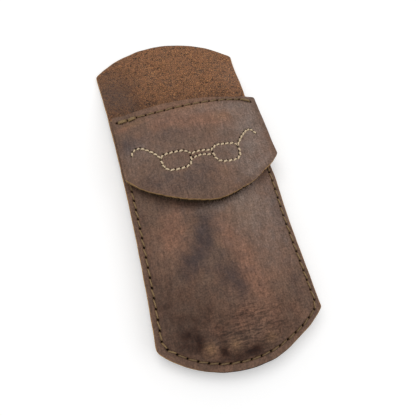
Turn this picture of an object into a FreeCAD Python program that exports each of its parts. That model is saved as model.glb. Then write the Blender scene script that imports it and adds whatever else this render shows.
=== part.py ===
import FreeCAD, Part
import os
from math import hypot, pi, sqrt

from FreeCAD import Vector

# A leather pen pouch, in millimetres.
# It lies on its back: x across, y up towards the mouth, z out of the front.

# Overall sizes of the cut leather
case_width = 66.0  # across the corners
case_length = 152.0  # from the bottom arch to the top arch
top_rise = 12.0  # height of the top arch above its corners
bottom_rise = 14.3  # depth of the bottom arch below its corners
side_draw = 1.8  # how far the filled pocket draws each side in
top_corner_radius = 2.5
bottom_corner_radius = 4.0
mouth_below_top = 40.0  # from the top of the back panel down to the pocket's mouth
leather = 1.8  # thickness of every panel

# The room in the pocket
edge_lift = 5.0  # height of the sewn margin above the rest face
front_rise = 4.8  # height of the front panel's arch above the sewn margin
trough_run = 12.0  # how far the back panel takes to come down from the margin to the rest face
bottom_run = 26.0  # how far the front panel takes to rise from the bottom margin
crease = 0.15  # softness of the front panel's bend beside the margin, as a share of the run
rest_flat = 0.05  # leather worn off where the back panel rests, so that the rest face is level
glue_line = 0.05  # cement between two panels that are sewn together

# The flap
flap_width = 64.5
flap_shift = 1.9  # how far to one side of the middle the flap is sewn on
flap_side = 31.4  # length of its straight sides
flap_rise = 15.1  # depth of its lower arch
flap_corner_radius = 1.0
flap_clearance = 0.3  # room between the flap and the front panel at the bend
flap_flattening = 0.3  # share of the mouth's arch that the flap has lost at its lower end
underside_room = 0.25  # least room between the thread on the flap's underside and the front panel
bend_below_seam = 2.6  # from the mouth seam down to the line where the flap bends
bend_gap = 0.15  # parting between the sewn strip and the flap that lifts

# Seams
seam_inset = 3.0  # from the edge of the leather to a row of stitches
stitch_pitch = 4.0
thread = 0.7  # thickness of the seam thread
seam_starts_below_mouth = 6.0
mouth_seam_end = 2.0  # from the side of the leather to the last hole of the mouth seam
stitch_clearance = 0.03  # room between a thread and the leather beside it
foot_room = 0.15  # more room for the straight stitches that cross the foot of the mouth's arch
thread_bend = 0.62  # radius of a thread's bends, in thicknesses of the thread

# Sewn spectacles on the flap, drawn about the middle of the bridge and level with the lenses' middle
motif_thread = 0.6
motif_pitch = 2.0
motif_above_corners = 3.0  # height of the lenses' middle above the flap's lower corners
lens_width = 11.4
lens_bottom = 4.2  # depth of the lens below its middle
lens_taper = 2.2  # how far each lower corner of the lens comes in
lens_foot = 1.6  # depth of the lens's lower curve
lens_bow = 0.4  # how far the lens's sides curve out
brow_height = 3.0  # height of the brow's outer corner
brow_bow = 1.6  # how far the brow curves up over a lens
bridge_width = 9.0
bridge_height = 1.6  # height of the bridge's upper line
bridge_drop = 2.4  # from the upper bridge line to the lower one
bridge_bow = 0.8
hump_reach = 7.3  # from the lens out to the top of the temple
hump_height = 10.2
hump_bow = 0.8
tip_reach = 11.0  # from the lens out to the temple's tip
tip_height = 7.3
tip_bow = 0.9
line_gap = 1.7  # between the ends of lines that meet

# Drawing of the curved sheets
grid_step = 2.0
slope_step = 0.05
row_sampling = 0.1
margin_past_edge = 4.0
tall = 60.0  # more than the height of the pouch

# Places that follow from the sizes above
half_width = case_width / 2
waist = half_width - side_draw
half_length = case_length / 2
high_corner_y = half_length - top_rise
low_corner_y = -half_length + bottom_rise
middle_y = (high_corner_y + low_corner_y) / 2
mouth_y = half_length - mouth_below_top
bottom_radius = (half_width**2 + bottom_rise**2) / (2 * bottom_rise)
bottom_centre_y = -half_length + bottom_radius
leg_offset = thread / 2 + stitch_clearance
seam_hole = 2 * (leg_offset + thread / 2 + 2 * stitch_clearance)
groove_depth = thread + 2 * stitch_clearance
groove_width = seam_hole + 4 * stitch_clearance
sewn_margin = seam_inset + groove_width / 2 + stitch_clearance
pocket_half = waist - sewn_margin
seam_y = mouth_y - seam_inset
side_seam_y = mouth_y - seam_starts_below_mouth
bend_y = seam_y - bend_below_seam
flap_left = flap_shift - flap_width / 2
flap_right = flap_shift + flap_width / 2
flap_corner_y = mouth_y - flap_side
flap_low_y = flap_corner_y - flap_rise
mouth_seam_left = max(flap_left, -waist) + mouth_seam_end
mouth_seam_right = min(flap_right, waist) - mouth_seam_end
motif_leg_offset = motif_thread / 2 + stitch_clearance
motif_hole = 2 * (motif_leg_offset + motif_thread / 2 + 2 * stitch_clearance)
motif_y = flap_corner_y + motif_above_corners
flap_lift = motif_thread + 2 * stitch_clearance + underside_room - flap_clearance
flap_lean = flap_lift / (bend_y - motif_y - hump_height)  # slope of the flap away from the front panel
sheet_reach = max(half_width, flap_right, -flap_left) + margin_past_edge
back_underside = edge_lift - rest_flat
front_underside = back_underside + leather + glue_line
strip_depth = leather + glue_line  # from the front panel's underside to the strip's
flap_depth = leather + flap_clearance


# Shapes of the bent leather
def clamp(value):
    """Keep a share between 0 and 1."""
    return min(max(value, 0.0), 1.0)


def soft_step(share):
    """Go from 0 to 1 with level ends."""
    u = clamp(share)
    return u**3 * (u * (6 * u - 15) + 10)


def swell(share):
    """Go from 0 to 1 as an arch does, with a soft crease at its foot."""
    u = clamp(share)
    s = u * u * (1 + crease) / (u + crease)
    return s * (2 - s)


def from_bottom_margin(x, y):
    """Distance of a place from the inner side of the bottom margin."""
    return bottom_radius - sewn_margin - hypot(x, min(y - bottom_centre_y, 0.0))


def back_height(x, y):
    """Height of the back panel's underside: a trough behind the pocket that runs out flat at the top."""
    sides = soft_step((pocket_half - abs(x)) / trough_run)
    trough = sides * soft_step(from_bottom_margin(x, y) / trough_run)
    lift = edge_lift * (1 - soft_step((y - mouth_y) / (high_corner_y - mouth_y)))
    return lift * (1 - trough) - rest_flat


def front_height(x, y):
    """Height of the front panel's underside: an arch that comes down to the margin at the bottom."""
    arch = swell((pocket_half - abs(x)) / pocket_half)
    return front_underside + front_rise * arch * swell(from_bottom_margin(x, y) / bottom_run)


def mouth_height(x, y):
    """Height of the mouth's arch, the same all along the case."""
    return front_height(x, mouth_y)


def flap_height(x, y):
    """Height that the flap is laid on: the mouth's arch, flatter and further out towards its lower end."""
    away = bend_y - y
    kept = 1 - flap_flattening * away / (bend_y - flap_low_y)
    crown = mouth_height(0, y)
    return crown - (crown - mouth_height(x, y)) * kept + flap_lean * away


def slope(height, x, y):
    """Outward direction of a curved sheet at a place."""
    along_x = (height(x + slope_step, y) - height(x - slope_step, y)) / (2 * slope_step)
    along_y = (height(x, y + slope_step) - height(x, y - slope_step)) / (2 * slope_step)
    return Vector(-along_x, -along_y, 1).normalize()


def sheet_point(height, x, y, out):
    """A place some way out from a curved sheet."""
    return Vector(x, y, height(x, y)) + slope(height, x, y) * out


def stations(low, high, step):
    """Evenly spaced values from low to high."""
    count = round((high - low) / step)
    return [low + (high - low) * i / count for i in range(count + 1)]


def space_above(height, lift, low_y, high_y):
    """The space above a curved sheet that lies some way out from a height."""
    grid = []
    for x in stations(-sheet_reach, sheet_reach, grid_step):
        grid.append([sheet_point(height, x, y, lift) for y in stations(low_y, high_y, grid_step)])
    surface = Part.BSplineSurface()
    surface.interpolate(grid)
    return surface.toShape().extrude(Vector(0, 0, tall))


def sheet_of_leather(block, height, lift, low_y, high_y):
    """The part of a block that lies in one thickness of leather on a curved sheet."""
    low, high = low_y - margin_past_edge, high_y + margin_past_edge
    piece = block.common(space_above(height, lift, low, high))
    return piece.cut(space_above(height, lift + leather, low, high))


# Outlines
def round_upright(solid, radius, wanted):
    """Round the upright edges that are wanted."""
    edges = []
    for edge in solid.Edges:
        low, high = edge.BoundBox.ZMin, edge.BoundBox.ZMax
        if high - low > tall / 2 and wanted(edge.CenterOfMass):
            edges.append(edge)
    return solid.makeFillet(radius, edges)


def case_block(inset=0.0):
    """A block with the outline of the case, or an outline some way inside it, from the rest face up."""
    low_left = Vector(-half_width, low_corner_y, 0)
    low_right = Vector(half_width, low_corner_y, 0)
    high_left = Vector(-half_width, high_corner_y, 0)
    high_right = Vector(half_width, high_corner_y, 0)
    arcs = [
        Part.Arc(low_left, Vector(0, -half_length, 0), low_right),
        Part.Arc(low_right, Vector(waist, middle_y, 0), high_right),
        Part.Arc(high_right, Vector(0, half_length, 0), high_left),
        Part.Arc(high_left, Vector(-waist, middle_y, 0), low_left),
    ]
    rim = Part.Wire([arc.toShape() for arc in arcs])
    if inset:
        rim = rim.makeOffset2D(-inset)
    block = Part.Face(rim).extrude(Vector(0, 0, tall))
    if top_corner_radius > inset:
        block = round_upright(block, top_corner_radius - inset, lambda p: p.y > middle_y)
    if bottom_corner_radius > inset:
        block = round_upright(block, bottom_corner_radius - inset, lambda p: p.y < middle_y)
    return block


def flap_block():
    """A block with the outline of the flap."""
    corners = [Vector(flap_left, mouth_y, 0), Vector(flap_left, flap_corner_y, 0)]
    corners += [Vector(flap_right, flap_corner_y, 0), Vector(flap_right, mouth_y, 0)]
    lowest = Vector(flap_shift, flap_low_y, 0)
    edges = [
        Part.LineSegment(corners[0], corners[1]).toShape(),
        Part.Arc(corners[1], lowest, corners[2]).toShape(),
        Part.LineSegment(corners[2], corners[3]).toShape(),
        Part.LineSegment(corners[3], corners[0]).toShape(),
    ]
    block = Part.Face(Part.Wire(edges)).extrude(Vector(0, 0, tall))
    return round_upright(block, flap_corner_radius, lambda p: True)


def below(y):
    """The space below a line across the case."""
    size = case_length + 2 * tall
    return Part.makeBox(2 * size, size, 2 * size, Vector(-size, y - size, -size))


def between(low_y, high_y):
    """The space between two lines across the case."""
    return below(high_y).cut(below(low_y))


# Rows of stitches
class Hole:
    """One awl hole: where it comes out on both faces, its direction and the direction across the row."""

    def __init__(self, top, under, across):
        self.top = top
        self.under = under
        self.out = (top - under).normalize()
        self.across = across

    def cutter(self, diameter):
        """A pin that clears the hole."""
        start = self.under - self.out * leather
        return Part.makeCylinder(diameter / 2, (self.top - start).Length + leather, start, self.out)


def directions(points):
    """Direction of a row at each of its points."""
    found = []
    for i in range(len(points)):
        found.append((points[min(i + 1, len(points) - 1)] - points[max(i - 1, 0)]).normalize())
    return found


def side_seam_holes():
    """Holes of the seam down the left side, round the bottom and up the right side."""
    rest = min(case_block(seam_inset).Faces, key=lambda face: face.CenterOfMass.z)
    points = rest.OuterWire.discretize(Distance=row_sampling)
    first = min(range(len(points)), key=lambda i: abs(points[i].y - side_seam_y) + (points[i].x > 0) * tall)
    points = points[first:] + points[:first]
    if points[1].y > points[0].y:
        points = points[:1] + points[:0:-1]
    last = min(range(len(points)), key=lambda i: abs(points[i].y - side_seam_y) + (points[i].x < 0) * tall)
    row = Part.makePolygon(points[: last + 1])
    spots = row.discretize(Number=round(row.Length / stitch_pitch) + 1)
    up = Vector(0, 0, 1)
    holes = []
    for spot, along in zip(spots, directions(spots)):
        top = Vector(spot.x, spot.y, front_underside + leather)
        holes.append(Hole(top, Vector(spot.x, spot.y, back_underside), up.cross(along)))
    return holes


def sheet_hole(height, spot, along, inner, outer):
    """A hole square to a curved sheet, from one distance out to another."""
    top = sheet_point(height, spot.x, spot.y, outer)
    under = sheet_point(height, spot.x, spot.y, inner)
    return Hole(top, under, (top - under).cross(along).normalize())


def mouth_seam_holes():
    """Holes of the seam across the mouth, through the flap and the front panel."""
    holes = []
    for x in stations(mouth_seam_left, mouth_seam_right, stitch_pitch):
        spot = Vector(x, seam_y, 0)
        holes.append(sheet_hole(mouth_height, spot, Vector(1, 0, 0), 0, strip_depth + leather))
    return holes


def bowed_line(corners, bows):
    """Arcs from corner to corner, each bowed out to its left by a distance."""
    arcs = []
    for start, end, bow in zip(corners, corners[1:], bows):
        aside = Vector(start.y - end.y, end.x - start.x, 0).normalize()
        arcs.append(Part.Arc(start, (start + end) * 0.5 + aside * bow, end).toShape())
    return Part.Wire(arcs)


def motif_holes(line):
    """Holes of one line of the spectacles, through the flap."""
    spots = line.discretize(Number=round(line.Length / motif_pitch) + 1)
    holes = []
    for spot, along in zip(spots, directions(spots)):
        holes.append(sheet_hole(flap_height, spot, along, flap_depth, flap_depth + leather))
    return holes


def spectacle_lines():
    """Each line of the spectacles by its thread's name."""

    def place(x, y):
        return Vector(flap_shift + x, motif_y + y, 0)

    def mirrored(points):
        return [(-x, y) for x, y in reversed(points)]

    near = bridge_width / 2
    far = near + lens_width
    brow = [(near, bridge_height), (far, brow_height)]
    brow += [(far + hump_reach, hump_height), (far + tip_reach, tip_height)]
    brow_bows = [brow_bow, hump_bow, tip_bow]
    lens_foot_y = lens_foot - lens_bottom
    lens = [(far, brow_height - line_gap), (far - lens_taper, lens_foot_y)]
    lens += [(near + lens_taper, lens_foot_y), (near, bridge_height - line_gap)]
    lens_bows = [lens_bow, lens_foot, lens_bow]
    bridge_low = bridge_height - bridge_drop
    bridge = [(line_gap - near, bridge_low), (near - line_gap, bridge_low)]
    lines = {
        "brow_thread": (mirrored(brow) + brow, brow_bows[::-1] + [bridge_bow] + brow_bows),
        "left_lens_thread": (mirrored(lens), lens_bows),
        "right_lens_thread": (lens, lens_bows),
        "bridge_thread": (bridge, [bridge_bow]),
    }
    return {name: bowed_line([place(*p) for p in points], bows) for name, (points, bows) in lines.items()}


# Threads
def rounded_wire(corners, radius):
    """Straight runs through the corners, joined by arcs of one radius."""
    edges = []
    start = corners[0]
    for before, corner, after in zip(corners, corners[1:], corners[2:]):
        back = (before - corner).normalize()
        ahead = (after - corner).normalize()
        half_turn_cosine = sqrt((1 - back.dot(ahead)) / 2)
        half_turn_sine = sqrt((1 + back.dot(ahead)) / 2)
        cut = radius * half_turn_sine / half_turn_cosine
        middle = corner + (back + ahead).normalize() * (radius / half_turn_cosine - radius)
        edges.append(Part.LineSegment(start, corner + back * cut).toShape())
        edges.append(Part.Arc(corner + back * cut, middle, corner + ahead * cut).toShape())
        start = corner + ahead * cut
    edges.append(Part.LineSegment(start, corners[-1]).toShape())
    return Part.Wire(edges)


def saddle_stitch(holes, size, offset, sunk_top=0.0, sunk_under=0.0):
    """One thread sewn with two needles: both faces are covered, and each hole is passed twice."""
    over = size / 2 + stitch_clearance

    def leg_end(i, side, on_top):
        hole = holes[i]
        aside = hole.across * (offset * side)
        if on_top:
            return hole.top + aside + hole.out * (over - sunk_top)
        return hole.under + aside - hole.out * (over - sunk_under)

    needles = []
    for first_on_top in (True, False):
        way = [leg_end(0, 1, first_on_top)]
        on_top = first_on_top
        for i in range(1, len(holes)):
            side = -1 if on_top else 1
            way.append(leg_end(i, side, on_top))
            on_top = not on_top
            way.append(leg_end(i, side, on_top))
        way[-1] = (way[-1] + way[-2]) * 0.5
        needles.append(way)
    corners = needles[1][::-1] + needles[0]
    path = rounded_wire(corners, size * thread_bend)
    start = path.Edges[0].valueAt(path.Edges[0].FirstParameter)
    ring = Part.Wire([Part.makeCircle(size / 2, start, corners[1] - corners[0])])
    tube = path.makePipeShell([ring], True, False)
    expected = path.Length * pi * (size / 2) ** 2
    share = round(tube.Volume / expected, 4)
    print("thread of", round(path.Length), "mm, volume over section times length", share)
    return tube


# Leather pieces
def pins(holes, diameter):
    """All the pins of a row of holes."""
    return Part.makeCompound([hole.cutter(diameter) for hole in holes])


def back_panel(block, side_holes):
    """The tall back panel."""
    panel = sheet_of_leather(block, back_height, 0, -half_length, half_length)
    return panel.cut(pins(side_holes, seam_hole))


def side_groove():
    """The groove in the front panel's face that the side seam's stitches lie in."""
    ring = case_block(seam_inset - groove_width / 2).cut(case_block(seam_inset + groove_width / 2))
    ring.translate(Vector(0, 0, front_underside + leather - groove_depth))
    return ring.common(below(side_seam_y + groove_width / 2))


def mouth_groove():
    """The groove in the front panel's underside that the mouth seam's stitches lie in."""
    low, high = seam_y - groove_width / 2, seam_y + groove_width / 2
    left, right = mouth_seam_left - groove_width / 2, mouth_seam_right + groove_width / 2
    bar = Part.makeBox(right - left, groove_width, tall, Vector(left, low, 0))
    depth = groove_depth + foot_room
    return bar.cut(space_above(mouth_height, depth, low - margin_past_edge, high + margin_past_edge))


def front_panel(block, side_holes, mouth_holes):
    """The front of the pocket."""
    panel = sheet_of_leather(block.common(below(mouth_y)), front_height, 0, -half_length, mouth_y)
    panel = panel.cut(side_groove()).cut(mouth_groove())
    return panel.cut(pins(side_holes + mouth_holes, seam_hole))


def flap_seam_strip(mouth_holes):
    """The strip of the flap that is sewn down along the mouth."""
    block = flap_block().common(between(bend_y, mouth_y))
    strip = sheet_of_leather(block, mouth_height, strip_depth, bend_y, mouth_y)
    return strip.cut(pins(mouth_holes, seam_hole))


def flap_panel(holes):
    """The part of the flap that lifts."""
    block = flap_block().common(below(bend_y - bend_gap))
    panel = sheet_of_leather(block, flap_height, flap_depth, flap_low_y, bend_y)
    return panel.cut(pins(holes, motif_hole))


def pouch():
    """Every piece by its node's name."""
    block = case_block()
    side_holes = side_seam_holes()
    mouth_holes = mouth_seam_holes()
    line_holes = {name: motif_holes(line) for name, line in spectacle_lines().items()}
    pieces = {
        "back_panel": back_panel(block, side_holes),
        "front_panel": front_panel(block, side_holes, mouth_holes),
        "flap_seam_strip": flap_seam_strip(mouth_holes),
        "flap_panel": flap_panel(sum(line_holes.values(), [])),
        "side_seam_thread": saddle_stitch(side_holes, thread, leg_offset, sunk_top=groove_depth),
        "mouth_seam_thread": saddle_stitch(mouth_holes, thread, leg_offset, sunk_under=groove_depth),
    }
    for name, holes in line_holes.items():
        pieces[name] = saddle_stitch(holes, motif_thread, motif_leg_offset)
    return pieces


os.makedirs("parts", exist_ok=True)
for node, shape in pouch().items():
    solids = len(shape.Solids)
    print(node, "solids", solids, "valid", shape.isValid(), "volume", round(shape.Volume, 2), "mm3")
    shape.exportStep("parts/" + node + ".step")
bend = sheet_point(flap_height, 0, bend_y, flap_depth + leather)
print("flap bends about x through y", round(bend_y, 3), "z", round(bend.z, 3))
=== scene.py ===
"""A hand-stitched leather pen pouch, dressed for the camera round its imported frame."""

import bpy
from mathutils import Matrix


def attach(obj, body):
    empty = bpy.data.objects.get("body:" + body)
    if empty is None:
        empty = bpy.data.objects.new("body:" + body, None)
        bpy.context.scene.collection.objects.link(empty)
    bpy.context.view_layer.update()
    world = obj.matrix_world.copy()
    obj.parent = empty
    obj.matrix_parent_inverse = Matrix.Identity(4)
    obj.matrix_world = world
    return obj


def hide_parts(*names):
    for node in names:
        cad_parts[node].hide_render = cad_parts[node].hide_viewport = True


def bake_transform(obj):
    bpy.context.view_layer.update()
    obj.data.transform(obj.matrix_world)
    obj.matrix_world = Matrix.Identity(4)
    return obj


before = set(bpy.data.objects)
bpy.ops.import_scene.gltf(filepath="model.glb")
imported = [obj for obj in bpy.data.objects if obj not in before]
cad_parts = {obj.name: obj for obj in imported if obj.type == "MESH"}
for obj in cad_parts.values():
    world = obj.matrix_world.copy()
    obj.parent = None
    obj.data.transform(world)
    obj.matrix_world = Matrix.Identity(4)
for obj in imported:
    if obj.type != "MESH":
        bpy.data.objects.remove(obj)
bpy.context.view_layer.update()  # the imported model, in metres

import logging
import math
import random
from dataclasses import dataclass
from enum import Enum
from typing import Callable, ClassVar, Sequence

import bpy
import numpy as np
from mathutils import Matrix, Vector, kdtree

LOG = logging.getLogger("pen_pouch")
MM = 0.001
ORIGIN = (0.0, 0.0, 0.0)
Height = Callable[[np.ndarray, np.ndarray], np.ndarray]
Places = tuple[np.ndarray, np.ndarray]
Finishes = tuple[bpy.types.Material, bpy.types.Material, bpy.types.Material]
Paint = tuple[bpy.types.NodeSocket, bpy.types.NodeSocket | float, bpy.types.NodeSocket]


class Body(Enum):
    """Bodies of the frame that pieces move with."""

    POUCH = "pouch"
    FLAP = "flap"


class Slot(Enum):
    """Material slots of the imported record."""

    LEATHER = "leather"
    SEAM_THREAD = "seam_thread"
    MOTIF_THREAD = "motif_thread"


class Held(Enum):
    """Ways that a sheet of leather is held."""

    LAID = "laid"
    STRETCHED = "stretched"
    HUNG = "hung"


class Part(Enum):
    """Kinds of parts of a mesh that can be selected."""

    POINTS = "vertices"
    EDGES = "edges"
    FACES = "polygons"


# Handling of pieces


def clear_selection() -> None:
    """Leave edit mode and deselect everything."""
    if bpy.context.object and bpy.context.object.mode != "OBJECT":
        bpy.ops.object.mode_set(mode="OBJECT")
    bpy.ops.object.select_all(action="DESELECT")


def take(piece: bpy.types.Object) -> None:
    """Make a piece the only selected one and the active one.

    Args:
        piece: the piece to take.
    """
    clear_selection()
    piece.select_set(True)
    bpy.context.view_layer.objects.active = piece


def select_parts(mesh: bpy.types.Mesh, kind: Part, chosen: Sequence[bool] | np.ndarray) -> None:
    """Select some parts of a mesh and nothing else.

    Args:
        mesh: the mesh of the taken piece.
        kind: the kind of parts.
        chosen: whether each part of that kind is selected.
    """
    for each in Part:
        parts = getattr(mesh, each.value)
        parts.foreach_set("select", chosen if each is kind else np.zeros(len(parts), bool))
    bpy.context.tool_settings.mesh_select_mode = [each is kind for each in Part]


def edit(operator: Callable[..., object], **settings: object) -> None:
    """Run one operator in edit mode, on what is selected.

    Args:
        operator: the operator to run.
        settings: the operator's settings.
    """
    bpy.ops.object.mode_set(mode="EDIT")
    operator(**settings)
    bpy.ops.object.mode_set(mode="OBJECT")


def read_rows(parts: bpy.types.bpy_prop_collection, name: str) -> np.ndarray:
    """Read three numbers from each part of a mesh.

    Args:
        parts: points, normals or faces of a mesh.
        name: what to read from each of them.

    Returns:
        One row for each part.
    """
    flat = np.empty(len(parts) * 3, np.float32)
    parts.foreach_get(name, flat)
    return flat.reshape(-1, 3)


def read_points(mesh: bpy.types.Mesh) -> np.ndarray:
    """Places of a mesh's points in millimetres."""
    return read_rows(mesh.vertices, "co").astype(float) / MM


def read_normals(mesh: bpy.types.Mesh) -> np.ndarray:
    """Outward direction at each point of a mesh."""
    return read_rows(mesh.vertex_normals, "vector").astype(float)


def write_points(mesh: bpy.types.Mesh, points: np.ndarray) -> None:
    """Move a mesh's points to places in millimetres."""
    mesh.vertices.foreach_set("co", (points * MM).astype(np.float32).ravel())
    mesh.update()


def write_mark(mesh: bpy.types.Mesh, name: str, values: np.ndarray) -> None:
    """Store one number per point for the materials to read."""
    mark = mesh.attributes.get(name) or mesh.attributes.new(name, "FLOAT", "POINT")
    mark.data.foreach_set("value", np.clip(values, 0, 1).astype(np.float32))


def apply_modifier(piece: bpy.types.Object, kind: str, **settings: object) -> None:
    """Add a modifier to a piece and apply it.

    Args:
        piece: the piece to change.
        kind: Blender's name for the kind of modifier.
        settings: the modifier's settings.
    """
    take(piece)
    modifier = piece.modifiers.new(kind.lower(), kind)
    for name, value in settings.items():
        setattr(modifier, name, value)
    bpy.ops.object.modifier_apply(modifier=modifier.name)


def copy_to(model: bpy.types.Object, place: Matrix) -> bpy.types.Object:
    """Copy a model to a place, with a mesh of its own.

    Args:
        model: the shape to copy.
        place: the matrix that takes the model there.

    Returns:
        The copy.
    """
    mesh = model.data.copy()
    mesh.transform(place)
    copy = bpy.data.objects.new(model.name, mesh)
    bpy.context.scene.collection.objects.link(copy)
    return copy


def join(copies: Sequence[bpy.types.Object], model: bpy.types.Object, name: str) -> bpy.types.Object:
    """Join the copies of a model and throw the model away.

    Args:
        copies: the copies, in their places.
        model: the shape that they were copied from.
        name: name of the joined piece.

    Returns:
        The joined piece.
    """
    clear_selection()
    for copy in copies:
        copy.select_set(True)
    bpy.context.view_layer.objects.active = copies[0]
    bpy.ops.object.join()
    bpy.data.objects.remove(model)
    copies[0].name = copies[0].data.name = name
    return copies[0]


def point_tree(points: np.ndarray) -> kdtree.KDTree:
    """Sort some places, so that the ones near another place are found quickly.

    Args:
        points: places, one a row.

    Returns:
        The sorted places.
    """
    tree = kdtree.KDTree(len(points))
    for index, place in enumerate(points):
        tree.insert(place, index)
    tree.balance()
    return tree


def nearest_gap(points: np.ndarray, line: np.ndarray) -> np.ndarray:
    """Find the distance from each point to the nearest point of a line.

    Args:
        points: places, one a row.
        line: closely spaced places along the line.

    Returns:
        One distance for each point.
    """
    tree = point_tree(line)
    return np.array([tree.find(place)[2] for place in points])


# Shape of the leather


def soft_step(share: np.ndarray) -> np.ndarray:
    """Go from 0 to 1 with level ends."""
    u = np.clip(share, 0, 1)
    return u**3 * (u * (6 * u - 15) + 10)


def bell(share: np.ndarray) -> np.ndarray:
    """Go from 1 at the middle to 0 far out, as a soft dent does."""
    return np.exp(-(share**2))


@dataclass(frozen=True)
class Ramp:
    """A soft change along a line, from nothing at one place to all at another, in millimetres."""

    start: float
    end: float

    def share(self, place: np.ndarray) -> np.ndarray:
        """Share of the change at each place."""
        return soft_step((place - self.start) / (self.end - self.start))


@dataclass(frozen=True)
class Bulge:
    """A soft departure from a line: where it is, how far it reaches and its size, in millimetres."""

    at: float
    reach: float
    size: float

    def amount(self, place: np.ndarray) -> np.ndarray:
        """Size of the departure at each place."""
        return self.size * bell((place - self.at) / self.reach)


@dataclass(frozen=True)
class Bump:
    """A low round bump in a panel: its middle, its width and its height, in millimetres."""

    x: float
    y: float
    wide: float
    high: float

    def height(self, x: np.ndarray, y: np.ndarray) -> np.ndarray:
        """Height of the bump at each place."""
        return self.high * bell(np.hypot(x - self.x, y - self.y) / self.wide)


@dataclass(frozen=True)
class Waves:
    """Soft random-looking waves: their height and their length, in millimetres."""

    high: float
    long: float
    # Angle, share of the length and start of each wave that goes into the sum.
    turns: ClassVar = (
        (0.3, 1.0, 0.4), (1.5, 1.31, 2.1), (2.4, 0.83, 4.0), (0.9, 1.77, 1.2), (2.9, 1.53, 5.3),
    )

    def height(self, x: np.ndarray, y: np.ndarray) -> np.ndarray:
        """Work out the waves' height.

        Args:
            x: places across the case.
            y: places along the case.

        Returns:
            The height at each place.
        """
        total = np.zeros_like(np.asarray(x, float))
        for angle, share, start in self.turns:
            run = x * math.cos(angle) + y * math.sin(angle)
            total = total + np.sin(run * share * 2 * math.pi / self.long + start)
        return self.high * (total / len(self.turns))


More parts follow.
